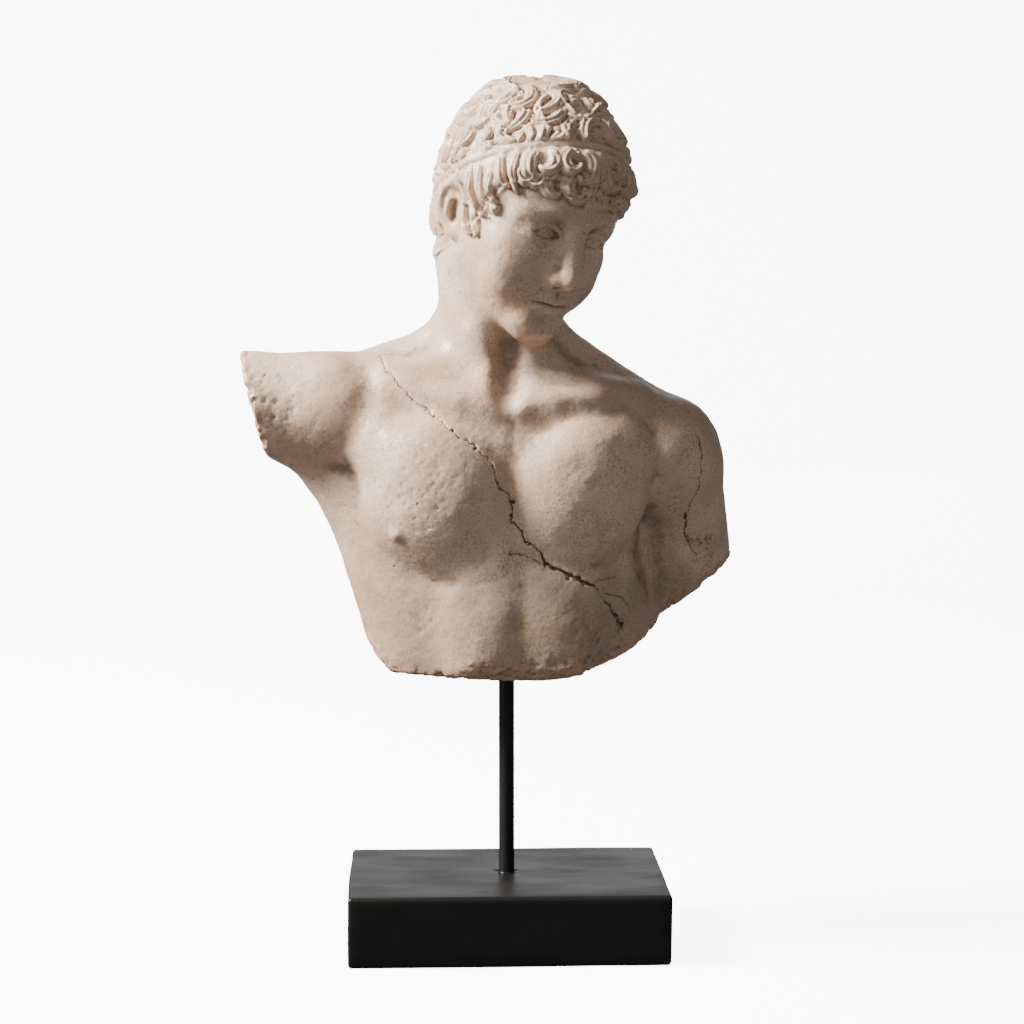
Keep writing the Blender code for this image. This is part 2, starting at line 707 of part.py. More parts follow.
def new_object(name, mesh, collection):
    """An object of this mesh, in a collection."""
    obj = bpy.data.objects.new(name, mesh)
    collection.objects.link(obj)
    return obj


def rod_mesh(name, radius, bottom, top, segments=48):
    """An upright round bar on the object's axis."""
    bm = bmesh.new()
    middle = Matrix.Translation((0, 0, (bottom + top) / 2))
    bmesh.ops.create_cone(bm, cap_ends=True, segments=segments, radius1=radius, radius2=radius,
                          depth=top - bottom, matrix=middle)
    mesh = bpy.data.meshes.new(name)
    bm.to_mesh(mesh)
    bm.free()
    return mesh


def block_mesh(name):
    """The block, standing on its underside."""
    bm = bmesh.new()
    size = Matrix.Diagonal((BASE_WIDTH, BASE_DEPTH, BASE_HEIGHT, 1))
    bmesh.ops.create_cube(bm, size=1, matrix=Matrix.Translation((0, 0, BASE_HEIGHT / 2)) @ size)
    mesh = bpy.data.meshes.new(name)
    bm.to_mesh(mesh)
    bm.free()
    return mesh


def bust_mesh(name):
    """The bust at its own size, over the rod, in few enough facets for a solid."""
    skin = sculpted(CLAY_VOXEL)
    lift = Matrix.Translation((0, 0, BASE_HEIGHT + ROD_EXPOSED))
    skin.transform(lift @ Matrix.Scale(CLAY, 4))
    draft = bpy.data.objects.new("draft", skin)
    bpy.context.scene.collection.objects.link(draft)
    fewer = draft.modifiers.new("fewer_facets", "DECIMATE")
    fewer.ratio = BUST_TRIANGLES / (2 * len(skin.polygons))
    fewer.use_collapse_triangulate = True
    mesh = evaluated_mesh(draft)
    bpy.data.objects.remove(draft)
    bpy.data.meshes.remove(skin)
    mesh.name = name
    return mesh


def bore(obj, hole):
    """Cuts a hole for the rod out of an object."""
    drill = obj.modifiers.new("rod_hole", "BOOLEAN")
    drill.operation = "DIFFERENCE"
    drill.solver = "EXACT"
    drill.object = hole


def main():
    for obj in list(bpy.data.objects):
        bpy.data.objects.remove(obj)
    bpy.context.scene.unit_settings.scale_length = 1.0
    casting = new_collection("casting")
    stand = new_collection("stand")
    holes = new_collection("holes")

    underside = BASE_HEIGHT + ROD_EXPOSED
    rod_foot = BASE_HEIGHT - ROD_IN_BASE
    rod_head = underside + ROD_IN_BUST
    hole = rod_mesh("rod_hole", ROD_DIAMETER / 2 + FIT_GAP, rod_foot - FIT_GAP, rod_head + FIT_GAP)
    rod_hole = new_object("rod_hole", hole, holes)
    rod_hole.hide_render = True
    rod_hole.display_type = "WIRE"

    bust = new_object("bust", bust_mesh("bust"), casting)
    bust.data.materials.append(new_material(BODY_FINISH))
    bore(bust, rod_hole)

    rod = rod_mesh("rod", ROD_DIAMETER / 2, rod_foot, rod_head)
    rod.materials.append(new_material(ROD_FINISH))
    new_object("rod", rod, stand)

    base = new_object("base", block_mesh("base"), stand)
    base.data.materials.append(new_material(BLACK_FINISH))
    eased = base.modifiers.new("eased_edges", "BEVEL")
    eased.width = BASE_EDGE
    eased.segments = 2
    bore(base, rod_hole)


if __name__ == "__main__":
    main()
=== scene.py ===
"""Looks of the bust on its rod and block.

The bust is worked in clay units, which are millimetres of a maquette that stands on its own
underside with the rod's axis through its origin. The figure looks along -Y and its left hand is
towards +X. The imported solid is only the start: it is fused to an even skin, settled on the same
form that the solid was made from, and then combed, cracked and weathered.
"""

from __future__ import annotations

from collections.abc import Iterator
from contextlib import contextmanager
from dataclasses import dataclass, field
from enum import Enum
import logging
import math

import bmesh
import bpy
from mathutils import Euler, Matrix, Vector
import numpy as np
import numpy.typing as npt

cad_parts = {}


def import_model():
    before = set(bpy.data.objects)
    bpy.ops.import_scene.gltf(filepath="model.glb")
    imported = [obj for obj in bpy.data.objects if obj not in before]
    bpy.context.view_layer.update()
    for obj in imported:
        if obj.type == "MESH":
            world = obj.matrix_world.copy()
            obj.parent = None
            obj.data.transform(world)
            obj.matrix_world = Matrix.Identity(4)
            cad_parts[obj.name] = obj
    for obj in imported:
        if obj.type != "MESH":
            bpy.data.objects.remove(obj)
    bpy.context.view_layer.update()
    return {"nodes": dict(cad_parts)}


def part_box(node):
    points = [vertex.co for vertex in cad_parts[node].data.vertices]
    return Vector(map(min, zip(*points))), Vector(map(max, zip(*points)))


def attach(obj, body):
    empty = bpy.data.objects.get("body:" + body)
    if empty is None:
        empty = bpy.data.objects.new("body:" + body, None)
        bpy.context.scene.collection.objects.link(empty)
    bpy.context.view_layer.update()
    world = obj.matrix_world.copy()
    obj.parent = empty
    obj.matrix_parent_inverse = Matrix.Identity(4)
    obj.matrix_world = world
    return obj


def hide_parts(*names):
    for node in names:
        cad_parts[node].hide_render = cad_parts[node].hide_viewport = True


LOG = logging.getLogger("bust")
Array = npt.NDArray[np.float64]
Chosen = npt.NDArray[np.bool_]
Point = tuple[float, float, float]
Style = tuple[tuple[float, float], ...]
CLAY = 0.001
ROD_IN_BUST = 0.045
BUST_TRIANGLES = 190_000
# In clay units: where the neck meets the head, the radius of the hair, and its crown's direction
NECK_TOP = 215
HAIR_RADIUS = 62.0
CROWN = (0, 0.45, 0.893)


def turned(degrees: Point) -> Array:
    """Gives the rotation matrix of a turn.

    Args:
        degrees: The turn about X, Y and Z.

    Returns:
        A 3 by 3 matrix.
    """
    return np.array(Euler([math.radians(angle) for angle in degrees]).to_matrix())


def oval(points: Array, centre: Point, radii: Point, turn: Point = (0, 0, 0)) -> Array:
    """Measures how far points lie outside an ellipsoid, well enough near its skin.

    Args:
        points: Points, one a row.
        centre: The ellipsoid's centre.
        radii: Its three radii.
        turn: Its turn in degrees.

    Returns:
        A signed distance for each point, negative inside.
    """
    local = points - np.array(centre)
    if any(turn):
        local = local @ turned(turn)
    size = np.array(radii, float)
    near = np.linalg.norm(local / size, axis=1)
    slope = np.linalg.norm(local / size**2, axis=1)
    return near * (near - 1) / np.maximum(slope, 1e-9)


def limb(points: Array, start: Point, end: Point, start_radius: float, end_radius: float) -> Array:
    """Measures how far points lie outside a tapered limb with round ends.

    Args:
        points: Points, one a row.
        start: The middle of the first end.
        end: The middle of the other end.
        start_radius: The radius at the first end.
        end_radius: The radius at the other end.

    Returns:
        A signed distance for each point, negative inside.
    """
    first = np.array(start, float)
    axis = np.array(end, float) - first
    share = np.clip((points - first) @ axis / (axis @ axis), 0, 1)
    away = points - first - share[:, None] * axis
    return np.linalg.norm(away, axis=1) - start_radius - (end_radius - start_radius) * share


def strand(points: Array, path: list[Point], radii: list[float]) -> Array:
    """Measures how far points lie outside a run of limbs.

    Args:
        points: Points, one a row.
        path: The places the run goes through.
        radii: Its radius at each place.

    Returns:
        A signed distance for each point.
    """
    runs = zip(path[:-1], path[1:], radii[:-1], radii[1:])
    return np.minimum.reduce([limb(points, *run) for run in runs])


def join(first: Array, second: Array, width: float) -> Array:
    """Unites two masses, with a fillet of about this width."""
    lap = np.maximum(width - np.abs(first - second), 0) / width
    return np.minimum(first, second) - lap * lap * width / 4


def cut(mass: Array, tool: Array, width: float) -> Array:
    """Takes a tool out of a mass, with an edge rounded to about this width."""
    return -join(-mass, tool, width)


def ramp(values: Array, low: float, high: float) -> Array:
    """Gives nought below low, one above high, and a smooth rise between."""
    share = np.clip((values - low) / (high - low), 0, 1)
    return share * share * (3 - 2 * share)


def mottle(points: Array, size: float, seed: int) -> Array:
    """Gives smooth noise between about -1 and 1.

    Args:
        points: Points, one a row.
        size: How far apart its lumps are.
        seed: Which noise it is.

    Returns:
        A value for each point.
    """
    grid = 64
    values = np.random.default_rng(seed).uniform(-1, 1, (grid, grid, grid))
    place = points / size
    cell = np.floor(place).astype(int)
    part = place - cell
    part = part * part * (3 - 2 * part)
    total = np.zeros(len(points))
    for corner in np.ndindex(2, 2, 2):
        offset = np.array(corner)
        x, y, z = ((cell + offset) % grid).T
        share = np.where(offset, part, 1 - part).prod(axis=1)
        total += share * values[x, y, z]
    return total * 1.6


@dataclass(frozen=True)
class Oval:
    """An ellipsoid of clay, pressed on or dug out with a fillet."""

    centre: Point
    radii: Point
    turn: Point = (0, 0, 0)
    fillet: float = 20.0
    hollow: bool = False

    def distance(self, points: Array) -> Array:
        """Measures how far points lie outside it."""
        return oval(points, self.centre, self.radii, self.turn)


@dataclass(frozen=True)
class Limb:
    """A tapered limb of clay with round ends, pressed on with a fillet."""

    start: Point
    end: Point
    start_radius: float
    end_radius: float
    fillet: float = 20.0
    hollow: bool = False

    def distance(self, points: Array) -> Array:
        """Measures how far points lie outside it."""
        return limb(points, self.start, self.end, self.start_radius, self.end_radius)


@dataclass(frozen=True)
class Run:
    """A run of limbs of clay, pressed on or dug out with a fillet."""

    path: list[Point]
    radii: list[float]
    fillet: float
    hollow: bool = False

    def distance(self, points: Array) -> Array:
        """Measures how far points lie outside it."""
        return strand(points, self.path, self.radii)


Masses = list[Oval | Limb | Run]


def pressed(masses: Masses, points: Array, whole: Array | None = None) -> Array:
    """Presses masses on, or digs them out, one after another.

    Args:
        masses: The masses in their order.
        points: Points, one a row.
        whole: The distance to what they go on, if the first isn't the start.

    Returns:
        A signed distance for each point.
    """
    for mass in masses:
        away = mass.distance(points)
        if whole is None:
            whole = away
        else:
            whole = (cut if mass.hollow else join)(whole, away, mass.fillet)
    return whole


@dataclass(frozen=True)
class Crease:
    """A soft line pressed into the front of the figure, drawn by places across and up it."""

    path: tuple
    depth: float
    width: float

    def sinks(self, p: Array) -> Array:
        """Gives how deep the line is at points.

        Args:
            p: Points in clay units.

        Returns:
            A depth for each point.
        """
        route = [(x, 0, z) for x, z in self.path]
        ends = -1.5 * self.width
        away = strand(p * (1, 0, 1), route, [ends, *[0.0] * (len(route) - 2), ends])
        return self.depth * np.exp(-((away / self.width) ** 2)) * ramp(-p[:, 1], -4, 10)


@dataclass
class Torso:
    """The trunk, the stubs of the arms and the neck, down to the breaks."""

    trunk: Masses = field(default_factory=lambda: [
        Oval((-6, 8, 108), (90, 55.5, 96), (0, -3, 0)),
        Oval((8, 8, 34), (86, 50.5, 92)),
        Limb((-82, 24, 122), (-59, 12, 16), 37, 27, 18),
        Limb((-92, 16, 112), (-136, 10, 152), 20, 16, 16),
        Limb((60, 22, 118), (64, 12, 16), 33, 30, 18),
        Limb((-80, 20, 166), (82, 20, 142), 29, 29, 26),
        Limb((-26, 32, 206), (-92, 24, 176), 20, 25, 20),
        Limb((26, 30, 204), (102, 18, 144), 20, 27, 20),
    ])
    chest: Masses = field(default_factory=lambda: [
        Oval((-46, -26.5, 115), (45, 28.5, 50), (5, 0, -16), 12),
        Oval((46, -26.5, 118), (42, 28, 48), (5, 0, 14), 12),
        Limb((-60, -20, 140), (-104, -4, 164), 22, 24, 18),
        Limb((54, -20, 138), (88, -6, 142), 21, 22, 18),
        Limb((-14, -8, 182), (-74, -2, 178), 22, 20, 16),
        Limb((14, -9, 178), (74, 0, 164), 23, 21, 16),
    ])
    limbs: Masses = field(default_factory=lambda: [
        Oval((-112, 6, 168), (37, 34, 34), fillet=10),
        Limb((-110, 12, 168), (-196, 8, 174), 33, 33, 12),
        Oval((104, 10, 136), (32, 33, 38), (0, 12, 0), 10),
        Limb((110, 20, 126), (126, 38, 20), 29, 28, 12),
        # The neck, the collar bones and the cords of the neck
        Limb((-8, 20, 176), (-5, 14, 258), 38, 36, 22),
        Run([(-9, -31, 172), (-30, -29, 176), (-56, -17, 183), (-84, 2, 190)], [5, 5, 5.5, 6.5], 14),
        Run([(9, -31, 171), (30, -31, 174), (54, -22, 178), (84, -2, 172)], [5, 5, 5.5, 6.5], 14),
        Run([(-9, -27, 172), (-14, -19, 204), (-26, -1, 238), (-33, 12, 262)], [4.5, 8, 9, 9], 13),
        Run([(7, -27, 172), (12, -16, 200), (22, 4, 232), (28, 18, 250)], [4, 5.5, 7.5, 8.5], 13),
    ])
    hollows: Masses = field(default_factory=lambda: [
        # The pit of the neck, the throat, and the hollows over the collar bones
        Oval((-1, -43, 183), (7, 8, 9), fillet=10, hollow=True),
        Oval((3, -34, 206), (13, 16, 23), fillet=14, hollow=True),
        Oval((-38, -32, 201), (20, 9, 9), fillet=16, hollow=True),
        Oval((40, -28, 198), (20, 9, 9), fillet=16, hollow=True),
        # The groove of the breastbone, and the white line below it
        Run([(0, -61, 162), (3, -62.5, 120), (7, -60.5, 74)], [6, 6, 7], 13, True),
        Run([(7, -56, 74), (9, -54, 44), (10, -54, -6)], [4, 3, 3], 12, True),
        # The muscles of the belly, and the arch of the ribs over them
        Oval((-14, -33, 34), (24, 14, 44), (0, 0, -6), 14),
        Oval((34, -33, 34), (23, 14, 44), (0, 0, 6), 14),
        Run([(-6, -58, 60), (-34, -57.5, 46), (-56, -52, 12)], [3, 4, 4], 14, True),
        Run([(20, -58, 60), (46, -57.5, 48), (68, -52, 20)], [3, 4, 4], 14, True),
        # The nipples
        Oval((-69, -41.7, 93), (2.4, 2.4, 2), fillet=6),
        Oval((64, -41.6, 92), (2.4, 2.4, 2), fillet=6),
    ])
    chest_fillet: float = 9.0
    break_edge: float = 4.0
    creases: tuple[Crease, ...] = (
        Crease(((3, 174), (2, 140), (2, 110), (5, 76)), 1.6, 7),
        Crease(((5, 86), (7, 60), (8, 30), (8, -6)), 0.5, 6),
        Crease(((-90, 92), (-72, 76), (-54, 68), (-26, 62), (4, 68)), 1.0, 6.5),
        Crease(((5, 106), (16, 79), (43, 71), (70, 77), (87, 100)), 1.6, 6),
        Crease(((-106, 202), (-90, 193), (-86, 179), (-98, 153), (-108, 138)), 1.8, 8),
        Crease(((78, 170), (91, 153), (91, 130), (82, 104)), 2.2, 8),
        Crease(((83, 100), (82, 78), (86, 61), (93, 38)), 5.5, 5.5),
    )
    breaks: tuple = (
        ((-160, 0, 171), (-0.97, 0, -0.24)),
        ((124, 29, 52.4), (0.625, 0, -0.781)),
        ((0, 0, 0), (-0.02, 0, -1)),
        ((58, 0, 10), (0.33, 0.05, -0.943)),
        ((-76, 0, 2), (-0.77, -0.05, -0.636)),
        ((0, -45, 7), (0, -0.62, -0.785)),
        ((0, 56, 14), (0, 0.5, -0.866)),
    )

    def distance(self, p: Array) -> Array:
        """Measures how far points lie outside the whole torso before it was broken.

        Args:
            p: Points in clay units.

        Returns:
            A signed distance for each point.
        """
        whole = join(pressed(self.trunk, p), pressed(self.chest, p), self.chest_fillet)
        whole = pressed([*self.limbs, *self.hollows], p, whole)
        for crease in self.creases:
            whole = whole + crease.sinks(p)
        return whole

    def broken(self, whole: Array, p: Array) -> Array:
        """Breaks the figure off at the arms and the underside.

        Args:
            whole: The distance to the whole figure.
            p: Points in clay units.

        Returns:
            The distance to what is left of it.
        """
        for middle, facing in self.breaks:
            whole = cut(whole, (np.array(middle) - p) @ np.array(facing), self.break_edge)
        return whole


def about(rng: np.random.Generator, middle: float, spread: float) -> float:
    """Picks a number near the middle."""
    return middle + spread * (2 * rng.random() - 1)


def picked(rng: np.random.Generator, style: Style) -> list[float]:
    """Picks a number for each middle and spread of a style, in its order."""
    return [about(rng, middle, spread) for middle, spread in style]


@dataclass(frozen=True)
class Lock:
    """A curling lock of hair lying on the head, from its root to its pointed tip."""

    root: Array
    heading: float
    length: float
    width: float
    height: float
    hook: float
    wave: float = 0.0
    drilled: float = 1.8

    def frame(self) -> tuple[Array, Array, Array]:
        """Gives unit vectors out of the head at the root, along the lock, and across it.

        Returns:
            The three unit vectors.
        """
        out = np.array(self.root)
        away = out * (out @ CROWN) - CROWN
        away = away / max(np.linalg.norm(away), 1e-6)
        turn = math.radians(self.heading)
        along = away * math.cos(turn) + np.cross(out, away) * math.sin(turn)
        return out, along, np.cross(out, along)

    def spine(self, steps: int = 24) -> tuple[Array, Array, Array]:
        """Gives points along the lock on the flat, with the direction and share at each.

        Args:
            steps: How many points there are.

        Returns:
            The points, their directions and their shares of the length.
        """
        share = np.linspace(0, 1, steps)
        angle = np.radians(self.hook * share**1.6 + self.wave * np.sin(2 * math.pi * share))
        direction = np.stack([np.cos(angle), np.sin(angle)], axis=1)
        walked = np.cumsum(direction, axis=0) * self.length / steps
        return walked - walked[0], direction, share

    def near(self, unit: Array) -> tuple[Array, Array]:
        """Finds which directions lie near the lock, and where they fall on its flat.

        Args:
            unit: The direction of each point from the hair's middle.

        Returns:
            The numbers of the near ones, and their places on the flat.
        """
        out, along, across = self.frame()
        flat = HAIR_RADIUS * np.stack([unit @ along, unit @ across], axis=1)
        reach = self.length + self.width
        chosen = np.flatnonzero((unit @ out > 0.5) & (np.abs(flat).max(axis=1) < reach))
        return chosen, flat[chosen]

    def raise_on(self, height: Array, unit: Array, strands: int) -> None:
        """Lays the lock over heights already there, with a drilled line round its edge.

        Args:
            height: The heights so far, which are changed.
            unit: The direction of each point from the hair's middle.
            strands: How many strands show on the lock.
        """
        chosen, flat = self.near(unit)
        points, direction, share = self.spine()
        gap = flat[:, None, :] - points[None]
        nearest = np.argmin((gap**2).sum(axis=2), axis=1)
        gap = gap[np.arange(len(chosen)), nearest]
        heading = direction[nearest]
        onward = (gap * heading).sum(axis=1)
        s = np.clip(share[nearest] + onward / self.length, 0, 1)
        sideways = gap[:, 1] * heading[:, 0] - gap[:, 0] * heading[:, 1]
        leaf = np.sin(math.pi * (0.12 + 0.88 * s) ** 0.85) ** 0.65
        half = np.maximum(self.width / 2 * leaf, 0.05)
        x = sideways / half
        before = 1 - ramp(-onward * (nearest == 0), 0.3, 2.5)
        lift = before * (0.45 + 0.55 * ramp(s, 0, 0.6))
        dome = np.clip(1 - x * x, 0, 1) ** 0.7
        if strands:
            lean = x + 0.16 * np.sin(2 * math.pi * s + self.heading)
            dome = dome * (0.66 + 0.34 * np.sin(math.pi * strands * (lean + 1) / 2) ** 2)
        beside = np.abs(sideways) - half
        inner = (sideways * self.hook > 0) * ramp(s, 0.3, 0.6)
        moat = 1.1 * (1 - ramp(np.abs(beside), 0.2, 1.5)) * ramp(s, 0.12, 0.4)
        moat = np.maximum(moat, self.drilled * inner * (1 - ramp(np.abs(beside), 0.6, 2.9)))
        past = onward * (nearest == len(share) - 1) > 0.6
        moat = np.where(past, 0, moat * before)
        height[chosen] = np.maximum(np.maximum(height[chosen] - moat, -1.4), self.height * lift * dome)


@dataclass
class Hair:
    """The cap of hair, its line on the brow, its band and its locks, in the head's own frame."""

    cap: Masses = field(default_factory=lambda: [
        Oval((0, 7, 22), (55, 66, 63), fillet=6),
        Oval((0, 28, -14), (38, 36, 32), fillet=24),
    ])
    band_at: float = 25.0
    band_fall: float = 0.71
    band_half: float = 1.7
    drilled: float = 2.4
    roll: float = 4.2
    sunk: float = 1.4
    remnant: Lock = Lock((0.203, -0.375, 0.904), -56, 20, 5.2, 7.5, 0)
    line_angles: tuple = (0, 25, 42, 56, 66, 76, 84, 92, 104, 113, 130, 180)
    line_heights: tuple = (31, 30, 28, 22, 6, -13, -12, 4, 6, -20, -36, -44)
    crown_rows: tuple = (100, 88, 76, 64, 52, 40, 28, 15)
    crown_pitch: float = 12.0
    tiers: int = 5
    # Over the band: hook, wave, length, width and height
    crown_front: Style = ((115, 35), (26, 10), (36, 5), (10.5, 1.8), (5.2, 0.6))
    crown_side: Style = ((85, 30), (24, 8), (27, 4), (9.6, 1.2), (4.6, 0.4))
    # Under the band: length, width, height, heading and hook
    fringe: Style = ((25, 4), (10.4, 1.6), (5.6, 0.8), (-45, 15), (200, 35))
    temple: Style = ((27, 3), (8.4, 1.2), (4.8, 0.5), (-16, 8), (75, 22))
    nape: Style = ((21, 3), (8.4, 0.8), (4, 0.4), (0, 25), (60, 30))

    @property
    def centre(self) -> Array:
        """The middle of the cap."""
        return np.array(self.cap[0].centre, float)

    def line_at(self, angle: Array | float) -> Array:
        """Gives the hairline's height at angles round the head from the face."""
        return np.interp(np.abs(angle), self.line_angles, self.line_heights)

    def over_line(self, q: Array) -> Array:
        """Measures how far points lie above the hairline, square to it where it runs steeply.

        Args:
            q: Points in the head's frame.

        Returns:
            A height for each point, negative below.
        """
        angle = np.degrees(np.arctan2(q[:, 0], -q[:, 1]))
        run = 2 * math.radians(3) * HAIR_RADIUS
        slope = (self.line_at(angle + 3) - self.line_at(angle - 3)) / run
        return (q[:, 2] - self.line_at(angle)) / np.hypot(1, slope)

    def over_band(self, q: Array) -> Array:
        """Measures how far points lie above the middle of the band."""
        level = q[:, 2] - self.band_at + self.band_fall * q[:, 1]
        return level / math.hypot(1, self.band_fall)

    def distance(self, q: Array) -> Array:
        """Measures how far points lie outside the mass of the hair, before its locks."""
        return cut(pressed(self.cap, q), self.over_line(q) * 0.8, 6)

    def on_crown(self, down: float, around: float) -> Array:
        """Gives a direction from the hair's middle.

        Args:
            down: Degrees down from the crown.
            around: Degrees round from the face.

        Returns:
            A unit vector.
        """
        crown = np.array(CROWN) / np.linalg.norm(CROWN)
        face = np.array([0, -1, 0]) + crown * crown[1]
        face = face / np.linalg.norm(face)
        low, turn = math.radians(down), math.radians(around)
        flat = face * math.cos(turn) + np.cross(face, crown) * math.sin(turn)
        return crown * math.cos(low) + flat * math.sin(low)

    def on_cap(self, angle: float, height: float) -> Array:
        """Gives the direction from the hair's middle to a place on the cap.

        Args:
            angle: Degrees round from the face.
            height: The place's height in the head's frame.

        Returns:
            A unit vector.
        """
        radii = np.array(self.cap[0].radii)
        level = min(max((height - self.centre[2]) / radii[2], -0.95), 0.95)
        waist = math.sqrt(1 - level**2)
        turn = math.radians(angle)
        point = radii * (math.sin(turn) * waist, -math.cos(turn) * waist, level)
        return point / np.linalg.norm(point)

    def under_band(self, angle: float, below: float) -> float:
        """Gives the height of the place on the cap that lies this far below the band.

        Args:
            angle: Degrees round from the face.
            below: How far below the band's middle.

        Returns:
            A height in the head's frame.
        """
        heights = np.arange(-50, 80, 0.5)
        places = self.centre + HAIR_RADIUS * np.array([self.on_cap(angle, z) for z in heights])
        return float(np.interp(-below, self.over_band(places), heights))

    def crown_locks(self, rng: np.random.Generator) -> list[Lock]:
        """Lays out waving locks from the crown down to the band, the lowest row first.

        Args:
            rng: What it draws its numbers from.

        Returns:
            The locks.
        """
        locks = []
        for row, down in enumerate(self.crown_rows):
            round_row = 2 * math.pi * HAIR_RADIUS * math.sin(math.radians(down))
            count = max(4, round(round_row / self.crown_pitch))
            for place in range(count):
                around = about(rng, (place + 0.5 * (row % 2)) * 360 / count, 4)
                around = (around + 180) % 360 - 180
                sway = 38 * math.sin(math.radians(2.5 * around + 4 * down))
                front = abs(around) < 60
                side = 1 if rng.random() < (0.72 if around < 25 else 0.3) else -1
                lean = 42 if front else 15
                hook, wave, *shape = picked(rng, self.crown_front if front else self.crown_side)
                root = self.on_crown(about(rng, down, 3), around)
                locks.append(Lock(root, sway - lean * side, *shape, side * hook, -side * wave))
        return [*locks, self.remnant]

    def lower_locks(self, rng: np.random.Generator) -> list[Lock]:
        """Lays out the locks under the band: hooked curls over the brow, sickles at the temples.

        Args:
            rng: What it draws its numbers from.

        Returns:
            The locks.
        """
        locks = []
        for tier in range(self.tiers):
            for place in range(-17, 17):
                around = about(rng, 10.6 * place + 5.3 * (tier % 2), 2.5)
                height = float(self.line_at(around)) + about(rng, 10 + 12 * tier, 2)
                top = self.under_band(around, about(rng, 4, 2))
                if height > top + 7:
                    continue
                root = self.on_cap(around, min(height, top))
                side = 1 if around < 0 else -1
                if abs(around) < 52:
                    side = 1 if rng.random() < (0.85 if around < 20 else 0.3) else -1
                    style = self.fringe
                else:
                    style = self.temple if abs(around) < 100 else self.nape
                *shape, heading, hook = picked(rng, style)
                locks.append(Lock(root, heading * side, *shape, side * hook))
        return locks

    def relief(self, q: Array, strands: int) -> Array:
        """Gives how far the skin rises or sinks for the hair.

        Args:
            q: Points in the head's frame.
            strands: How many strands show on each lock.

        Returns:
            A height for each point, along the line from the hair's middle.
        """
        rng = np.random.default_rng(11)
        unit = q - self.centre
        unit = unit / np.linalg.norm(unit, axis=1)[:, None]
        rises = []
        for locks in (self.lower_locks(rng), self.crown_locks(rng)):
            rise = np.zeros(len(q))
            for lock in locks:
                lock.raise_on(rise, unit, strands)
            rises.append(rise)
        over, line = self.over_band(q), self.over_line(q)
        hair = ramp(line, -1, 2)
        angle = np.abs(np.degrees(np.arctan2(q[:, 0], -q[:, 1])))
        swell = self.roll * (1 - 0.6 * ramp(angle, 40, 85)) * ramp(-over, 0, 7) * ramp(line, -4, 6)
        under = np.maximum(rises[0], -self.sunk * hair) * ramp(line, -12, -6) + swell
        rise = np.where(over < 0, under, rises[1])
        band = 1 - ramp(np.abs(over), self.band_half - 0.6, self.band_half + 1.4)
        return (rise - self.drilled * hair) * (1 - band) - 0.4 * band * hair


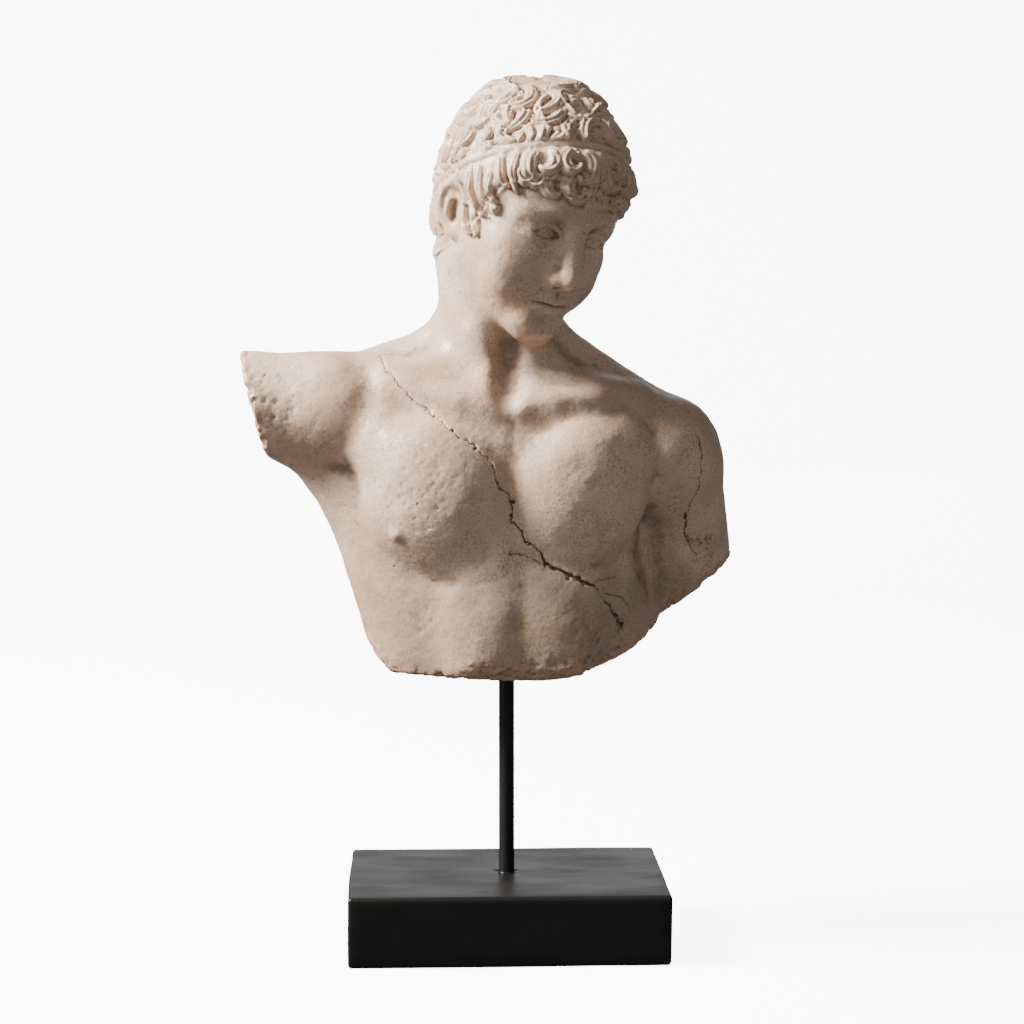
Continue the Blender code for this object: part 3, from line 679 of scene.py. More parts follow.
@dataclass
class Head:
    """The head in its own frame: upright, facing -Y, its eyes at the height of the origin."""

    centre: Point = (13.0, -6.0, 291.0)
    yaw: float = 33.0
    pitch: float = 19.0
    roll: float = 10.0
    face_size: float = 0.97
    hair: Hair = field(default_factory=Hair)
    bare: Masses = field(default_factory=lambda: [
        Oval((0, 6, 24), (50, 60, 52), fillet=10),
        Oval((0, -16, 20), (46, 41, 36), fillet=14),
        Oval((0, 2, -4), (46, 49, 42), fillet=14),
        Oval((0, -11, -22), (41, 40, 48), (-22, 0, 0), 14),
        Limb((-28, 2, -33), (-8, -40, -59), 10, 9.5, 16),
        Limb((28, 2, -33), (8, -40, -59), 10, 9.5, 16),
        Oval((0, -43, -60), (13, 12, 10.5), fillet=12),
        # The cheeks, the brow, the socket of the eye, and the muzzle
        Oval((28, -31, -14), (14, 12, 9), (0, 0, 30), 14),
        Oval((25, -34, -31), (14, 12, 15), fillet=14),
        Oval((14, -41, -17), (10, 8, 13), fillet=12),
        Run([(4, -50.5, 8.5), (18, -50, 11.5), (34, -37, 7)], [5, 5, 4.5], 8),
        Oval((19, -57, 2.5), (13, 10, 8), fillet=7, hollow=True),
        Oval((0, -39, -40), (19, 15, 16), fillet=10),
        # The nose and its nostrils
        Limb((0, -43, 0), (0, -49, -22), 9, 10.5, 10),
        Limb((0, -51, 9), (0, -62, -22), 5.2, 5.2, 6),
        Oval((0, -62.5, -24.5), (6.2, 6.4, 5.6), fillet=4),
        Oval((7.4, -55, -27), (4.3, 6.8, 4.6), fillet=4),
        Oval((0, -57, -29.5), (3, 8, 2.6), fillet=3),
        Oval((3.7, -58.5, -31.6), (1.9, 3.4, 2.2), fillet=1.5, hollow=True),
    ])
    lips: Masses = field(default_factory=lambda: [
        Run([(14.5, -48.5, -43.8), (9, -52.8, -41.8), (3, -55, -40.4), (0, -54.8, -41)],
            [1.2, 2.4, 2.9, 2.7], 3),
        Run([(13.5, -48.6, -45.6), (8, -52.4, -47.4), (0, -54, -48.2)], [1.3, 3.1, 3.9], 3),
    ])
    under_lip: Oval = Oval((0, -59, -54.6), (11, 5, 3), fillet=8, hollow=True)
    auricle: Masses = field(default_factory=lambda: [
        Oval((0, 1, 0), (3.4, 10, 16)),
        Oval((-5, -2, -1), (7, 6, 12), fillet=4),
        # The rim and the fold within it, each round a hollow, the flap and the lobe
        Run([(0, -6, -3), (0.6, -8, 5), (1.6, -4, 13), (2.4, 3, 15.5), (2.6, 9, 11), (2.2, 10.5, 2),
             (1.6, 8, -7), (0.6, 3, -14)], [1.4, 1.8, 2.1, 2.3, 2.3, 2.1, 1.9, 2.4], 1.6),
        Run([(1.2, 1, 10), (2, 4.4, 4), (2, 4, -3), (1, 0.5, -8.5)], [1.2, 1.7, 1.8, 1.5], 1.6),
        Run([(4.6, -2, 9), (4.8, 4, 11), (4.8, 7.4, 4)], [1.6, 1.7, 1.6], 1.4, True),
        Oval((3.4, -1, -2), (6.5, 4.8, 8), fillet=1.6, hollow=True),
        Oval((1.4, -6.4, -3.6), (2.2, 2.2, 3.2), fillet=2),
        Oval((0.4, -1, -15), (2.7, 4.6, 4.6), fillet=3),
    ])
    eye: Point = (19, -37.6, -0.5)
    eyeball: float = 12.2
    lids: float = 13.6
    eye_half: float = 9.8
    ear_place: Point = (45.5, 11, -9)
    ear_turn: Point = (-12, 0, -22)

    def matrix(self) -> Matrix:
        """Gives the place of the head's frame in the maquette.

        Returns:
            A 4 by 4 matrix.
        """
        yaw = Matrix.Rotation(math.radians(self.yaw), 4, "Z")
        pitch = Matrix.Rotation(math.radians(self.pitch), 4, "X")
        roll = Matrix.Rotation(math.radians(self.roll), 4, "Y")
        return Matrix.Translation(self.centre) @ yaw @ pitch @ roll

    def inside(self, points: Array) -> Array:
        """Turns points of the maquette into the head's own frame."""
        back = np.array(self.matrix().inverted())
        return points @ back[:3, :3].T + back[:3, 3]

    def with_eyes(self, face: Array, q: Array) -> Array:
        """Adds an eyeball between its lids to the distance.

        Args:
            face: The distance to the face so far.
            q: Points in the head's frame, mirrored onto its left half.

        Returns:
            The distance with the eye in it.
        """
        away = np.linalg.norm(q - np.array(self.eye), axis=1)
        across = (q[:, 0] - self.eye[0]) / self.eye_half
        gap = np.clip(1 - across**2, 0, None)
        level = q[:, 2] + 1.6
        opening = np.maximum(level - 4.4 * gap, -3.0 * gap - level)
        opening = opening + 10 * np.maximum(np.abs(across) - 1, 0)
        face = join(face, away - self.lids, 4)
        arch = q[:, 2] - 1.6 - 4.6 * np.sqrt(gap)
        face = face + 0.6 * np.exp(-((arch / 0.9) ** 2)) * ramp(gap, 0, 0.3) * (q[:, 1] < -30)
        face = cut(face, np.maximum(opening, away - 16), 1.2)
        return join(face, away - self.eyeball, 0.8)

    def with_mouth(self, face: Array, q: Array) -> Array:
        """Adds the lips, with the line between them, to the distance.

        Args:
            face: The distance to the face so far.
            q: Points in the head's frame, mirrored onto its left half.

        Returns:
            The distance with the mouth in it.
        """
        face = pressed(self.lips, q, face)
        line = q[:, 2] - np.interp(q[:, 0], (0, 3, 9, 15), (-44.6, -43.9, -43.8, -44.8))
        front = (q[:, 1] < -30) * (1 - ramp(q[:, 0], 10.5, 16.5))
        face = face + 1.7 * np.exp(-((line / 0.9) ** 2)) * front
        philtrum = np.exp(-((q[:, 0] / 1.7) ** 2)) * ramp(q[:, 2], -41, -38) * (1 - ramp(q[:, 2], -37, -33.5))
        face = face + 0.7 * philtrum * front
        return pressed([self.under_lip], q, face)

    def ear(self, q: Array) -> Array:
        """Measures how far points lie outside an ear, with its rim, fold, bowl and lobe."""
        return pressed(self.auricle, (q - np.array(self.ear_place)) @ turned(self.ear_turn))

    def distance(self, points: Array) -> Array:
        """Measures how far points of the maquette lie outside the head, before its locks.

        Args:
            points: Points in clay units.

        Returns:
            A signed distance for each point.
        """
        q = self.inside(points)
        q[:, 0] = np.abs(q[:, 0])
        small = q / self.face_size
        face = self.with_eyes(pressed(self.bare, small), small)
        face = self.with_mouth(face, small) * self.face_size
        face = join(face, self.hair.distance(q), 3)
        return join(face, self.ear(q), 4)

    def locks(self, points: Array, strands: int, normals: Array | None = None) -> Array:
        """Gives how far each point moves for the locks.

        Args:
            points: Points of the maquette.
            strands: How many strands show on each lock.
            normals: The skin's normals there, if locks are to fade where it is steep.

        Returns:
            A move for each point, nought off the head.
        """
        q = self.inside(points)
        on_head = (q[:, 2] > -60) & (np.linalg.norm(q, axis=1) < 110) & (points[:, 2] > NECK_TOP)
        near = np.flatnonzero(on_head)
        unit = q[near] - self.hair.centre
        unit = unit / np.linalg.norm(unit, axis=1)[:, None]
        moved = np.zeros((len(points), 3))
        mirrored = q[near] * np.where(q[near] < 0, (-1, 1, 1), 1)
        clear = ramp(self.ear(mirrored), 0.8, 4)
        raised = unit @ np.array(self.matrix())[:3, :3].T
        if normals is not None:
            clear = clear * ramp((normals[near] * raised).sum(axis=1), 0.05, 0.45)
        moved[near] = (self.hair.relief(q[near], strands) * clear)[:, None] * raised
        return moved


@dataclass(frozen=True)
class Crack:
    """A crack in the front of the figure, drawn by places across and up it."""

    path: tuple
    width: float
    depth: float

    def away(self, points: Array) -> Array:
        """Measures how far points lie from the crack, seen from the front."""
        route = [(x, 0, z) for x, z in self.path]
        return strand(points, route, [0.0] * len(route))


@dataclass(frozen=True)
class Pit:
    """A hole where a chip has come away, seen from the front."""

    across: float
    up: float
    radius: float
    depth: float


@dataclass(frozen=True)
class Patch:
    """A stretch of skin that is strewn with small dents."""

    middle: Point
    reach: float
    depth: float
    size: float
    dents: int


@dataclass
class Weathering:
    """The cracks, chips, pits and broken faces of the casting."""

    cracks: tuple[Crack, ...] = (
        Crack(((-79, 203), (-74, 192), (-68, 185)), 0.8, 0.9),
        Crack(((-68, 185), (-58, 175), (-45, 166), (-35, 157), (-26, 151), (-19, 146), (-9, 136)), 0.7, 1.1),
        Crack(((-9, 136), (-8, 130), (-6, 122), (0, 119), (2, 114), (1, 103), (7, 96), (10, 90),
               (18, 84), (22, 75)), 1.3, 2.0),
        Crack(((22, 75), (35, 70), (42, 66), (48, 62), (53, 60)), 1.9, 2.4),
        Crack(((53, 60), (58, 53), (65, 45), (71, 32)), 1.5, 2.2),
        Crack(((0, 82), (10, 81), (17, 77), (23, 74)), 0.9, 1.2),
        Crack(((53, 63), (59, 64), (68, 65)), 0.8, 1.1),
        Crack(((58, 59), (65, 53), (72, 51), (76, 44)), 0.8, 1.0),
        Crack(((120, 152), (123, 140), (122, 124), (118, 112), (113, 102), (113, 90), (118, 79),
               (122, 73)), 1.1, 1.6),
        Crack(((116, 85), (122, 84), (130, 79), (131, 74)), 1.0, 1.4),
    )
    pits: tuple[Pit, ...] = (
        Pit(-51, 169, 0.9, 1.0), Pit(-45, 166, 1.2, 1.4), Pit(-35, 157, 1.5, 1.8), Pit(-21, 146, 1.3, 1.5),
        Pit(2, 114, 1.8, 2.2), Pit(1, 105, 1.7, 2.2), Pit(22, 75, 2.0, 2.0), Pit(38, 68, 2.6, 2.4),
        Pit(43, 66, 2.2, 2.4), Pit(52, 61, 1.8, 1.8), Pit(71, 34, 2.0, 1.8), Pit(-72, 72, 0.9, 1.0),
        Pit(122, 84, 1.8, 1.6), Pit(130, 75, 1.8, 1.6),
    )
    patches: tuple[Patch, ...] = (
        Patch((-52, -50, 120), 36, 0.5, 1.6, 560),
        Patch((-57, -44, 34), 20, 0.9, 2.2, 120),
        Patch((57, -36, 21), 30, 1.6, 2.2, 320),
        Patch((-140, -20, 176), 32, 0.6, 2.4, 220),
        Patch((58, -45, 104), 24, 0.35, 2, 90),
        Patch((126, 0, 80), 20, 1.4, 2.8, 100),
    )
    breaks: tuple = ()
    # How far inside a broken face its chipped rim starts and is full
    rim_start: float = -9.0
    rim_full: float = -2.0

    def cracked(self, points: Array, normals: Array) -> Array:
        """Gives how deep the cracks and pits go.

        Args:
            points: Points in clay units.
            normals: The skin's normals there.

        Returns:
            A depth for each point, nought away from them.
        """
        depth = np.zeros(len(points))
        front = np.flatnonzero((normals[:, 1] < -0.15) & (points[:, 1] < 0) & (points[:, 2] < NECK_TOP))
        p = points[front]
        drawn = p.copy()
        drawn[:, 0] += 0.9 * mottle(p, 5.0, 1) + 0.5 * mottle(p, 1.7, 2)
        drawn[:, 1] = 0
        drawn[:, 2] += 0.9 * mottle(p, 5.0, 3) + 0.5 * mottle(p, 1.7, 4)
        swell = 1 + 0.45 * mottle(p, 7.0, 5)
        found = np.zeros(len(p))
        for crack in self.cracks:
            wall = crack.width / 2 * swell
            found = np.maximum(found, crack.depth * (1 - ramp(crack.away(drawn), 0.2 * wall, wall + 0.15)))
        for pit in self.pits:
            away = np.hypot(drawn[:, 0] - pit.across, drawn[:, 2] - pit.up)
            found = np.maximum(found, pit.depth * (1 - ramp(away, 0.3 * pit.radius, pit.radius)))
        depth[front] = found
        return depth

    def broken(self, points: Array) -> Array:
        """Gives how far each point is on a broken face or its chipped rim, from nought to one.

        Args:
            points: Points in clay units.

        Returns:
            A share for each point.
        """
        share = np.zeros(len(points))
        for middle, facing in self.breaks:
            level = (points - np.array(middle)) @ np.array(facing)
            share = np.maximum(share, ramp(level, self.rim_start, self.rim_full))
        return share

    def dented(self, points: Array) -> Array:
        """Gives how deep the small dents of the patches go.

        Args:
            points: Points in clay units.

        Returns:
            A depth for each point.
        """
        rng = np.random.default_rng(23)
        depth = np.zeros(len(points))
        for patch in self.patches:
            away = np.linalg.norm(points - np.array(patch.middle), axis=1) / patch.reach
            near = np.flatnonzero(away < 1)
            warped = points[near] + mottle(points[near], 1.8, 13)[:, None]
            for pick in rng.integers(0, len(near), patch.dents):
                share = rng.uniform(0.55, 1.0) ** 2
                deep = patch.depth * share * rng.uniform(0.3, 1) * (1 - away[near[pick]] ** 2)
                size = patch.size * share
                apart = ((warped - points[near[pick]]) ** 2).sum(axis=1) / size**2
                depth[near] += deep * np.exp(-(apart**1.5))
        return depth

    def relief(self, points: Array) -> Array:
        """Gives how far the skin rises or sinks for its wear.

        Args:
            points: Points in clay units.

        Returns:
            A height for each point, along the skin's normal.
        """
        height = 0.25 * mottle(points, 9.0, 11) + 0.1 * mottle(points, 2.6, 12)
        height -= self.dented(points)
        rim = self.broken(points)
        chips = ramp(mottle(points, 7.0, 16) + 0.4 * mottle(points, 3.0, 17), 0.1, 0.9)
        return height - rim * (1.3 * chips + 0.55 * ramp(mottle(points, 2.6, 18), 0, 1))


def corners(mesh: bpy.types.Mesh) -> Array:
    """Reads a mesh's vertex positions.

    Args:
        mesh: The mesh.

    Returns:
        One row for each vertex.
    """
    flat = np.empty(len(mesh.vertices) * 3, np.float32)
    mesh.vertices.foreach_get("co", flat)
    return flat.reshape(-1, 3).astype(float)


def outward(mesh: bpy.types.Mesh) -> Array:
    """Reads a mesh's vertex normals.

    Args:
        mesh: The mesh.

    Returns:
        One row for each vertex.
    """
    flat = np.empty(len(mesh.vertices) * 3, np.float32)
    mesh.vertex_normals.foreach_get("vector", flat)
    return flat.reshape(-1, 3).astype(float)


def move(mesh: bpy.types.Mesh, points: Array) -> None:
    """Puts a mesh's vertices at these points."""
    mesh.vertices.foreach_set("co", points.astype(np.float32).ravel())
    mesh.update()


def placed(name: str, data: bpy.types.ID) -> bpy.types.Object:
    """Makes an object of this data and puts it in the scene.

    Args:
        name: The object's name.
        data: What it shows.

    Returns:
        The object.
    """
    thing = bpy.data.objects.new(name, data)
    bpy.context.scene.collection.objects.link(thing)
    return thing


@contextmanager
def worked(mesh: bpy.types.Mesh) -> Iterator[bmesh.types.BMesh]:
    """Opens a mesh for bmesh operators, and takes over what they did.

    Args:
        mesh: The mesh.

    Yields:
        Its bmesh.
    """
    bm = bmesh.new()
    bm.from_mesh(mesh)
    yield bm
    bm.to_mesh(mesh)
    bm.free()
    mesh.update()


def finished(mesh: bpy.types.Mesh, kind: str, **settings: float | str | bool) -> bpy.types.Mesh:
    """Runs one modifier on a mesh.

    Args:
        mesh: The mesh, which is used up.
        kind: The modifier's type.
        **settings: The modifier's settings.

    Returns:
        A new mesh.
    """
    draft = placed("draft", mesh)
    modifier = draft.modifiers.new(kind.lower(), kind)
    for name, value in settings.items():
        setattr(modifier, name, value)
    graph = bpy.context.evaluated_depsgraph_get()
    result = bpy.data.meshes.new_from_object(draft.evaluated_get(graph))
    bpy.data.objects.remove(draft)
    bpy.data.meshes.remove(mesh)
    return result


def relax(mesh: bpy.types.Mesh, rounds: int, chosen: Chosen | None = None) -> None:
    """Evens out a skin's vertices, or the chosen ones alone.

    Args:
        mesh: The skin.
        rounds: How many times.
        chosen: Whether each vertex may move.
    """
    with worked(mesh) as bm:
        verts = [vert for vert in bm.verts if chosen is None or chosen[vert.index]]
        for _ in range(rounds):
            bmesh.ops.smooth_vert(bm, verts=verts, factor=0.5, use_axis_x=True, use_axis_y=True,
                                  use_axis_z=True)


def refine(mesh: bpy.types.Mesh, chosen: Chosen) -> None:
    """Splits the facets between chosen vertices in four.

    Args:
        mesh: The skin to split.
        chosen: Whether each vertex is in the part to split.
    """
    with worked(mesh) as bm:
        edges = [edge for edge in bm.edges if all(chosen[vert.index] for vert in edge.verts)]
        bmesh.ops.subdivide_edges(bm, edges=edges, cuts=1, use_grid_fill=True)


@dataclass
class Bust:
    """The casting: head, neck and chest in one piece."""

    underside: float
    torso: Torso = field(default_factory=Torso)
    head: Head = field(default_factory=Head)
    weathering: Weathering = field(default_factory=Weathering)
    coarse: float = 1.5
    rod_hole: tuple[float, float] = (5.3, 45.3)
    hole_edge: float = 0.5
    # The head and the torso overlap between these heights
    head_from: float = 195.0
    torso_to: float = 285.0
    neck_fillet: float = 10.0
    # How near a crack the skin's facets are split in four, once and twice
    split_once: float = 6.0
    split_twice: float = 3.0

    def __post_init__(self) -> None:
        """Lets the weathering know where the figure is broken."""
        self.weathering.breaks = self.torso.breaks

    def distance(self, points: Array) -> Array:
        """Measures how far points lie outside the whole bust, before its locks.

        Args:
            points: Points in clay units.

        Returns:
            A signed distance for each point.
        """
        whole = np.full(len(points), 1e3)
        low = points[:, 2] < self.torso_to
        whole[low] = self.torso.distance(points[low])
        high = points[:, 2] > self.head_from
        whole[high] = join(whole[high], self.head.distance(points[high]), self.neck_fillet)
        whole = self.torso.broken(whole, points)
        radius, top = self.rod_hole
        hole = np.maximum(np.hypot(points[:, 0], points[:, 1]) - radius, points[:, 2] - top)
        return cut(whole, hole, self.hole_edge)

    def settle(self, mesh: bpy.types.Mesh, rounds: int, reach: float) -> None:
        """Moves a skin onto the surface of the form.

        Args:
            mesh: The skin.
            rounds: How many times it is moved.
            reach: The furthest that a point moves in one round.
        """
        for _ in range(rounds):
            points = corners(mesh)
            step = np.clip(self.distance(points), -reach, reach)
            move(mesh, points - step[:, None] * outward(mesh))

    def clay_copy(self, source: bpy.types.Object) -> bpy.types.Mesh:
        """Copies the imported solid, merged, into clay units.

        Args:
            source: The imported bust.

        Returns:
            The copy.
        """
        mesh = source.data.copy()
        mesh.materials.clear()
        with worked(mesh) as bm:
            bmesh.ops.remove_doubles(bm, verts=bm.verts, dist=1e-5)
            bmesh.ops.transform(bm, matrix=self.to_metres().inverted(), verts=bm.verts)
        return mesh

    def to_metres(self) -> Matrix:
        """Gives the matrix from clay units to the object's place."""
        return Matrix.Translation((0, 0, self.underside)) @ Matrix.Scale(CLAY, 4)

    def skin(self, source: bpy.types.Object) -> bpy.types.Mesh:
        """Gives an even skin on the smooth form, without locks or wear.

        Args:
            source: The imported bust.

        Returns:
            The skin.
        """
        mesh = self.clay_copy(source)
        points = corners(mesh)
        move(mesh, points - self.head.locks(points, 0))
        mesh = finished(mesh, "REMESH", mode="VOXEL", voxel_size=self.coarse)
        relax(mesh, 2)
        self.settle(mesh, 2, 3 * self.coarse)
        relax(mesh, 2)
        self.settle(mesh, 1, self.coarse)
        mesh = finished(mesh, "REMESH", mode="VOXEL", voxel_size=self.coarse)
        self.settle(mesh, 2, self.coarse)
        relax(mesh, 1)
        self.settle(mesh, 1, self.coarse)
        return mesh

    def detailed(self, mesh: bpy.types.Mesh) -> bpy.types.Mesh:
        """Adds facets where the carving and the wear need them, and carves both.

        Args:
            mesh: The smooth skin, which is used up.

        Returns:
            The carved skin.
        """
        points = corners(mesh)
        rim = self.weathering.broken(points) > 0.02
        worn = np.zeros(len(points), bool)
        for patch in self.weathering.patches:
            worn |= np.linalg.norm(points - np.array(patch.middle), axis=1) < patch.reach
        on_head = (self.head.inside(points)[:, 2] > -75) & (points[:, 2] > NECK_TOP)
        near_crack = self.near_cracks(points, self.split_once)
        refine(mesh, on_head | rim | worn | near_crack)
        refine(mesh, self.near_cracks(corners(mesh), self.split_twice))
        self.settle(mesh, 1, self.coarse)
        points, normals = corners(mesh), outward(mesh)
        depth = self.weathering.cracked(points, normals)
        height = self.weathering.relief(points) - depth
        combed = self.head.locks(points, 3, normals)
        move(mesh, points + height[:, None] * normals + combed)
        relax(mesh, 1, np.linalg.norm(combed, axis=1) > 0.5)
        LOG.info("the skin had %d facets before it was thinned", len(mesh.polygons))
        share = min(1.0, BUST_TRIANGLES / (2 * len(mesh.polygons)))
        return finished(mesh, "DECIMATE", ratio=share, use_collapse_triangulate=True)

    def near_cracks(self, points: Array, reach: float) -> Chosen:
        """Says which points of the front lie near a crack or a pit.

        Args:
            points: Points in clay units.
            reach: How near.

        Returns:
            Yes or no for each point.
        """
        flat = points * (1, 0, 1)
        away = np.minimum.reduce([crack.away(flat) for crack in self.weathering.cracks])
        for pit in self.weathering.pits:
            away = np.minimum(away, np.hypot(flat[:, 0] - pit.across, flat[:, 2] - pit.up) - pit.radius)
        return (away < reach) & (points[:, 1] < 5) & (points[:, 2] < NECK_TOP)

    def stain(self, mesh: bpy.types.Mesh) -> None:
        """Marks each vertex with how hollow, cracked and broken the skin is there, and with painted shade low
        on the figure.

        Args:
            mesh: The carved skin.
        """
        points, normals = corners(mesh), outward(mesh)
        ends = np.empty(len(mesh.edges) * 2, np.int32)
        mesh.edges.foreach_get("vertices", ends)
        first, second = ends.reshape(-1, 2).T
        count = np.bincount(first, minlength=len(points)) + np.bincount(second, minlength=len(points))
        smooth = points.copy()
        hollows = []
        for rounds in (3, 22):
            for _ in range(rounds):
                total = np.zeros_like(smooth)
                for axis in range(3):
                    total[:, axis] = np.bincount(first, smooth[second, axis], len(points))
                    total[:, axis] += np.bincount(second, smooth[first, axis], len(points))
                smooth = 0.4 * smooth + 0.6 * total / count[:, None]
            hollows.append(((smooth - points) * normals).sum(axis=1))
        marks = {
            "fine_hollow": np.clip(hollows[0] / 0.5, -1, 1) * 0.5 + 0.5,
            "broad_hollow": np.clip(hollows[1] / 1.6, -1, 1) * 0.5 + 0.5,
            "crack": np.clip(self.weathering.cracked(points, normals) / 1.8, 0, 1),
            "broken": self.weathering.broken(points),
            # painted shade: more of it lower down the figure, below the chest
            "painted_low_shade": ramp(84 - points[:, 2] + 10 * mottle(points, 16, 21), 0, 40),
        }
        for name, values in marks.items():
            layer = mesh.attributes.new(name, "FLOAT", "POINT")
            layer.data.foreach_set("value", values.astype(np.float32))

    def build(self, source: bpy.types.Object) -> bpy.types.Object:
        """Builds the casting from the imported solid.

        Args:
            source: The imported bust.

        Returns:
            The finished piece, without its material.
        """
        mesh = self.detailed(self.skin(source))
        self.stain(mesh)
        mesh.transform(self.to_metres())
        mesh.shade_smooth()
        mesh.name = "cast_bust"
        return placed("cast_bust", mesh)


@dataclass
class Stand:
    """The painted block, and the bead of paint at the foot of the rod."""

    width: float
    depth: float
    height: float
    edge: float = 0.0025
    grid: float = 0.01
    wobble: float = 0.0006
    rod_radius: float = 0.005
    gap: float = 0.0003
    rod_in_base: float = 0.030
    bead_width: float = 0.0012
    bead_height: float = 0.0013
    bead_sunk: float = 0.0004

    def block(self) -> bpy.types.Object:
        """Builds the block with eased, slightly uneven edges and a hole for the rod.

        Returns:
            The finished piece.
        """
        mesh = bpy.data.meshes.new("block")
        with worked(mesh) as bm:
            size = Matrix.Diagonal((self.width, self.depth, self.height, 1))
            place = Matrix.Translation((0, 0, self.height / 2))
            bmesh.ops.create_cube(bm, size=1, matrix=place @ size)
            bmesh.ops.bevel(bm, geom=bm.edges[:], offset=self.edge, segments=4, profile=0.5,
                            affect="EDGES", material=-1)
            for axis, span in enumerate((self.width, self.depth, self.height)):
                for step in range(1, round(span / self.grid)):
                    normal = Vector((0, 0, 0))
                    normal[axis] = 1
                    middle = normal * (step * self.grid - (span / 2 if axis < 2 else 0))
                    bmesh.ops.bisect_plane(bm, geom=bm.verts[:] + bm.edges[:] + bm.faces[:],
                                           plane_co=middle, plane_no=normal)
        points = corners(mesh)
        inward = -points * (1, 1, 0) / np.maximum(np.abs(points), 1e-6)
        sway = self.wobble * (mottle(points, 0.055, 31) + 0.4 * mottle(points, 0.02, 32) + 1)
        moved = points + 0.5 * sway[:, None] * inward
        top = points[:, 2] > self.height / 2
        moved[top, 2] -= 0.5 * self.wobble * (mottle(points[top], 0.07, 33) + 1)
        move(mesh, moved)
        return self.bored(mesh)

    def bored(self, mesh: bpy.types.Mesh) -> bpy.types.Object:
        """Bores the hole for the rod and gives the finished block.

        Args:
            mesh: The block, which is used up.

        Returns:
            The finished piece.
        """
        drill_mesh = bpy.data.meshes.new("drill")
        with worked(drill_mesh) as bm:
            place = Matrix.Translation((0, 0, self.height - self.rod_in_base / 2 + 0.005))
            radius = self.rod_radius + self.gap
            bmesh.ops.create_cone(bm, cap_ends=True, segments=48, radius1=radius, radius2=radius,
                                  depth=self.rod_in_base + 0.01 + self.gap, matrix=place)
        drill = placed("drill", drill_mesh)
        mesh = finished(mesh, "BOOLEAN", operation="DIFFERENCE", solver="EXACT", object=drill)
        bpy.data.objects.remove(drill)
        mesh.shade_smooth()
        mesh.name = "painted_block"
        return placed("painted_block", mesh)

    def bead(self) -> bpy.types.Object:
        """Builds the thin bead that seals the rod where it enters the block.

        Returns:
            The finished piece.
        """
        mesh = bpy.data.meshes.new("rod_bead")
        foot = self.height - self.bead_sunk
        with worked(mesh) as bm:
            last = bm.verts.new((self.rod_radius + self.bead_width, 0, foot))
            for step in range(1, 7):
                angle = math.radians(15 * step)
                across = self.rod_radius + self.bead_width * (1 - math.sin(angle))
                vert = bm.verts.new((across, 0, foot + self.bead_height * (1 - math.cos(angle))))
                bm.edges.new((last, vert))
                last = vert
            bmesh.ops.spin(bm, geom=bm.verts[:] + bm.edges[:], axis=(0, 0, 1), cent=(0, 0, 0),
                           angle=2 * math.pi, steps=48, use_merge=True)
            bmesh.ops.recalc_face_normals(bm, faces=bm.faces)
        mesh.shade_smooth()
        return placed("rod_bead", mesh)


class Tone(Enum):
    """The colours of the object, and of the shade painted on it, in linear light."""

    STONE = (0.70, 0.51, 0.37)
    TAN = (0.52, 0.345, 0.23)
    GREY = (0.40, 0.31, 0.235)
    # The brown of the patina and the specks, also laid on as painted shade
    PATINA_AND_SHADE = (0.17, 0.105, 0.065)
    DIRT = (0.055, 0.038, 0.027)
    BREAK = (0.52, 0.31, 0.20)
    BLACK = (0.0085, 0.0082, 0.008)
    PAPER = (0.92, 0.92, 0.92)


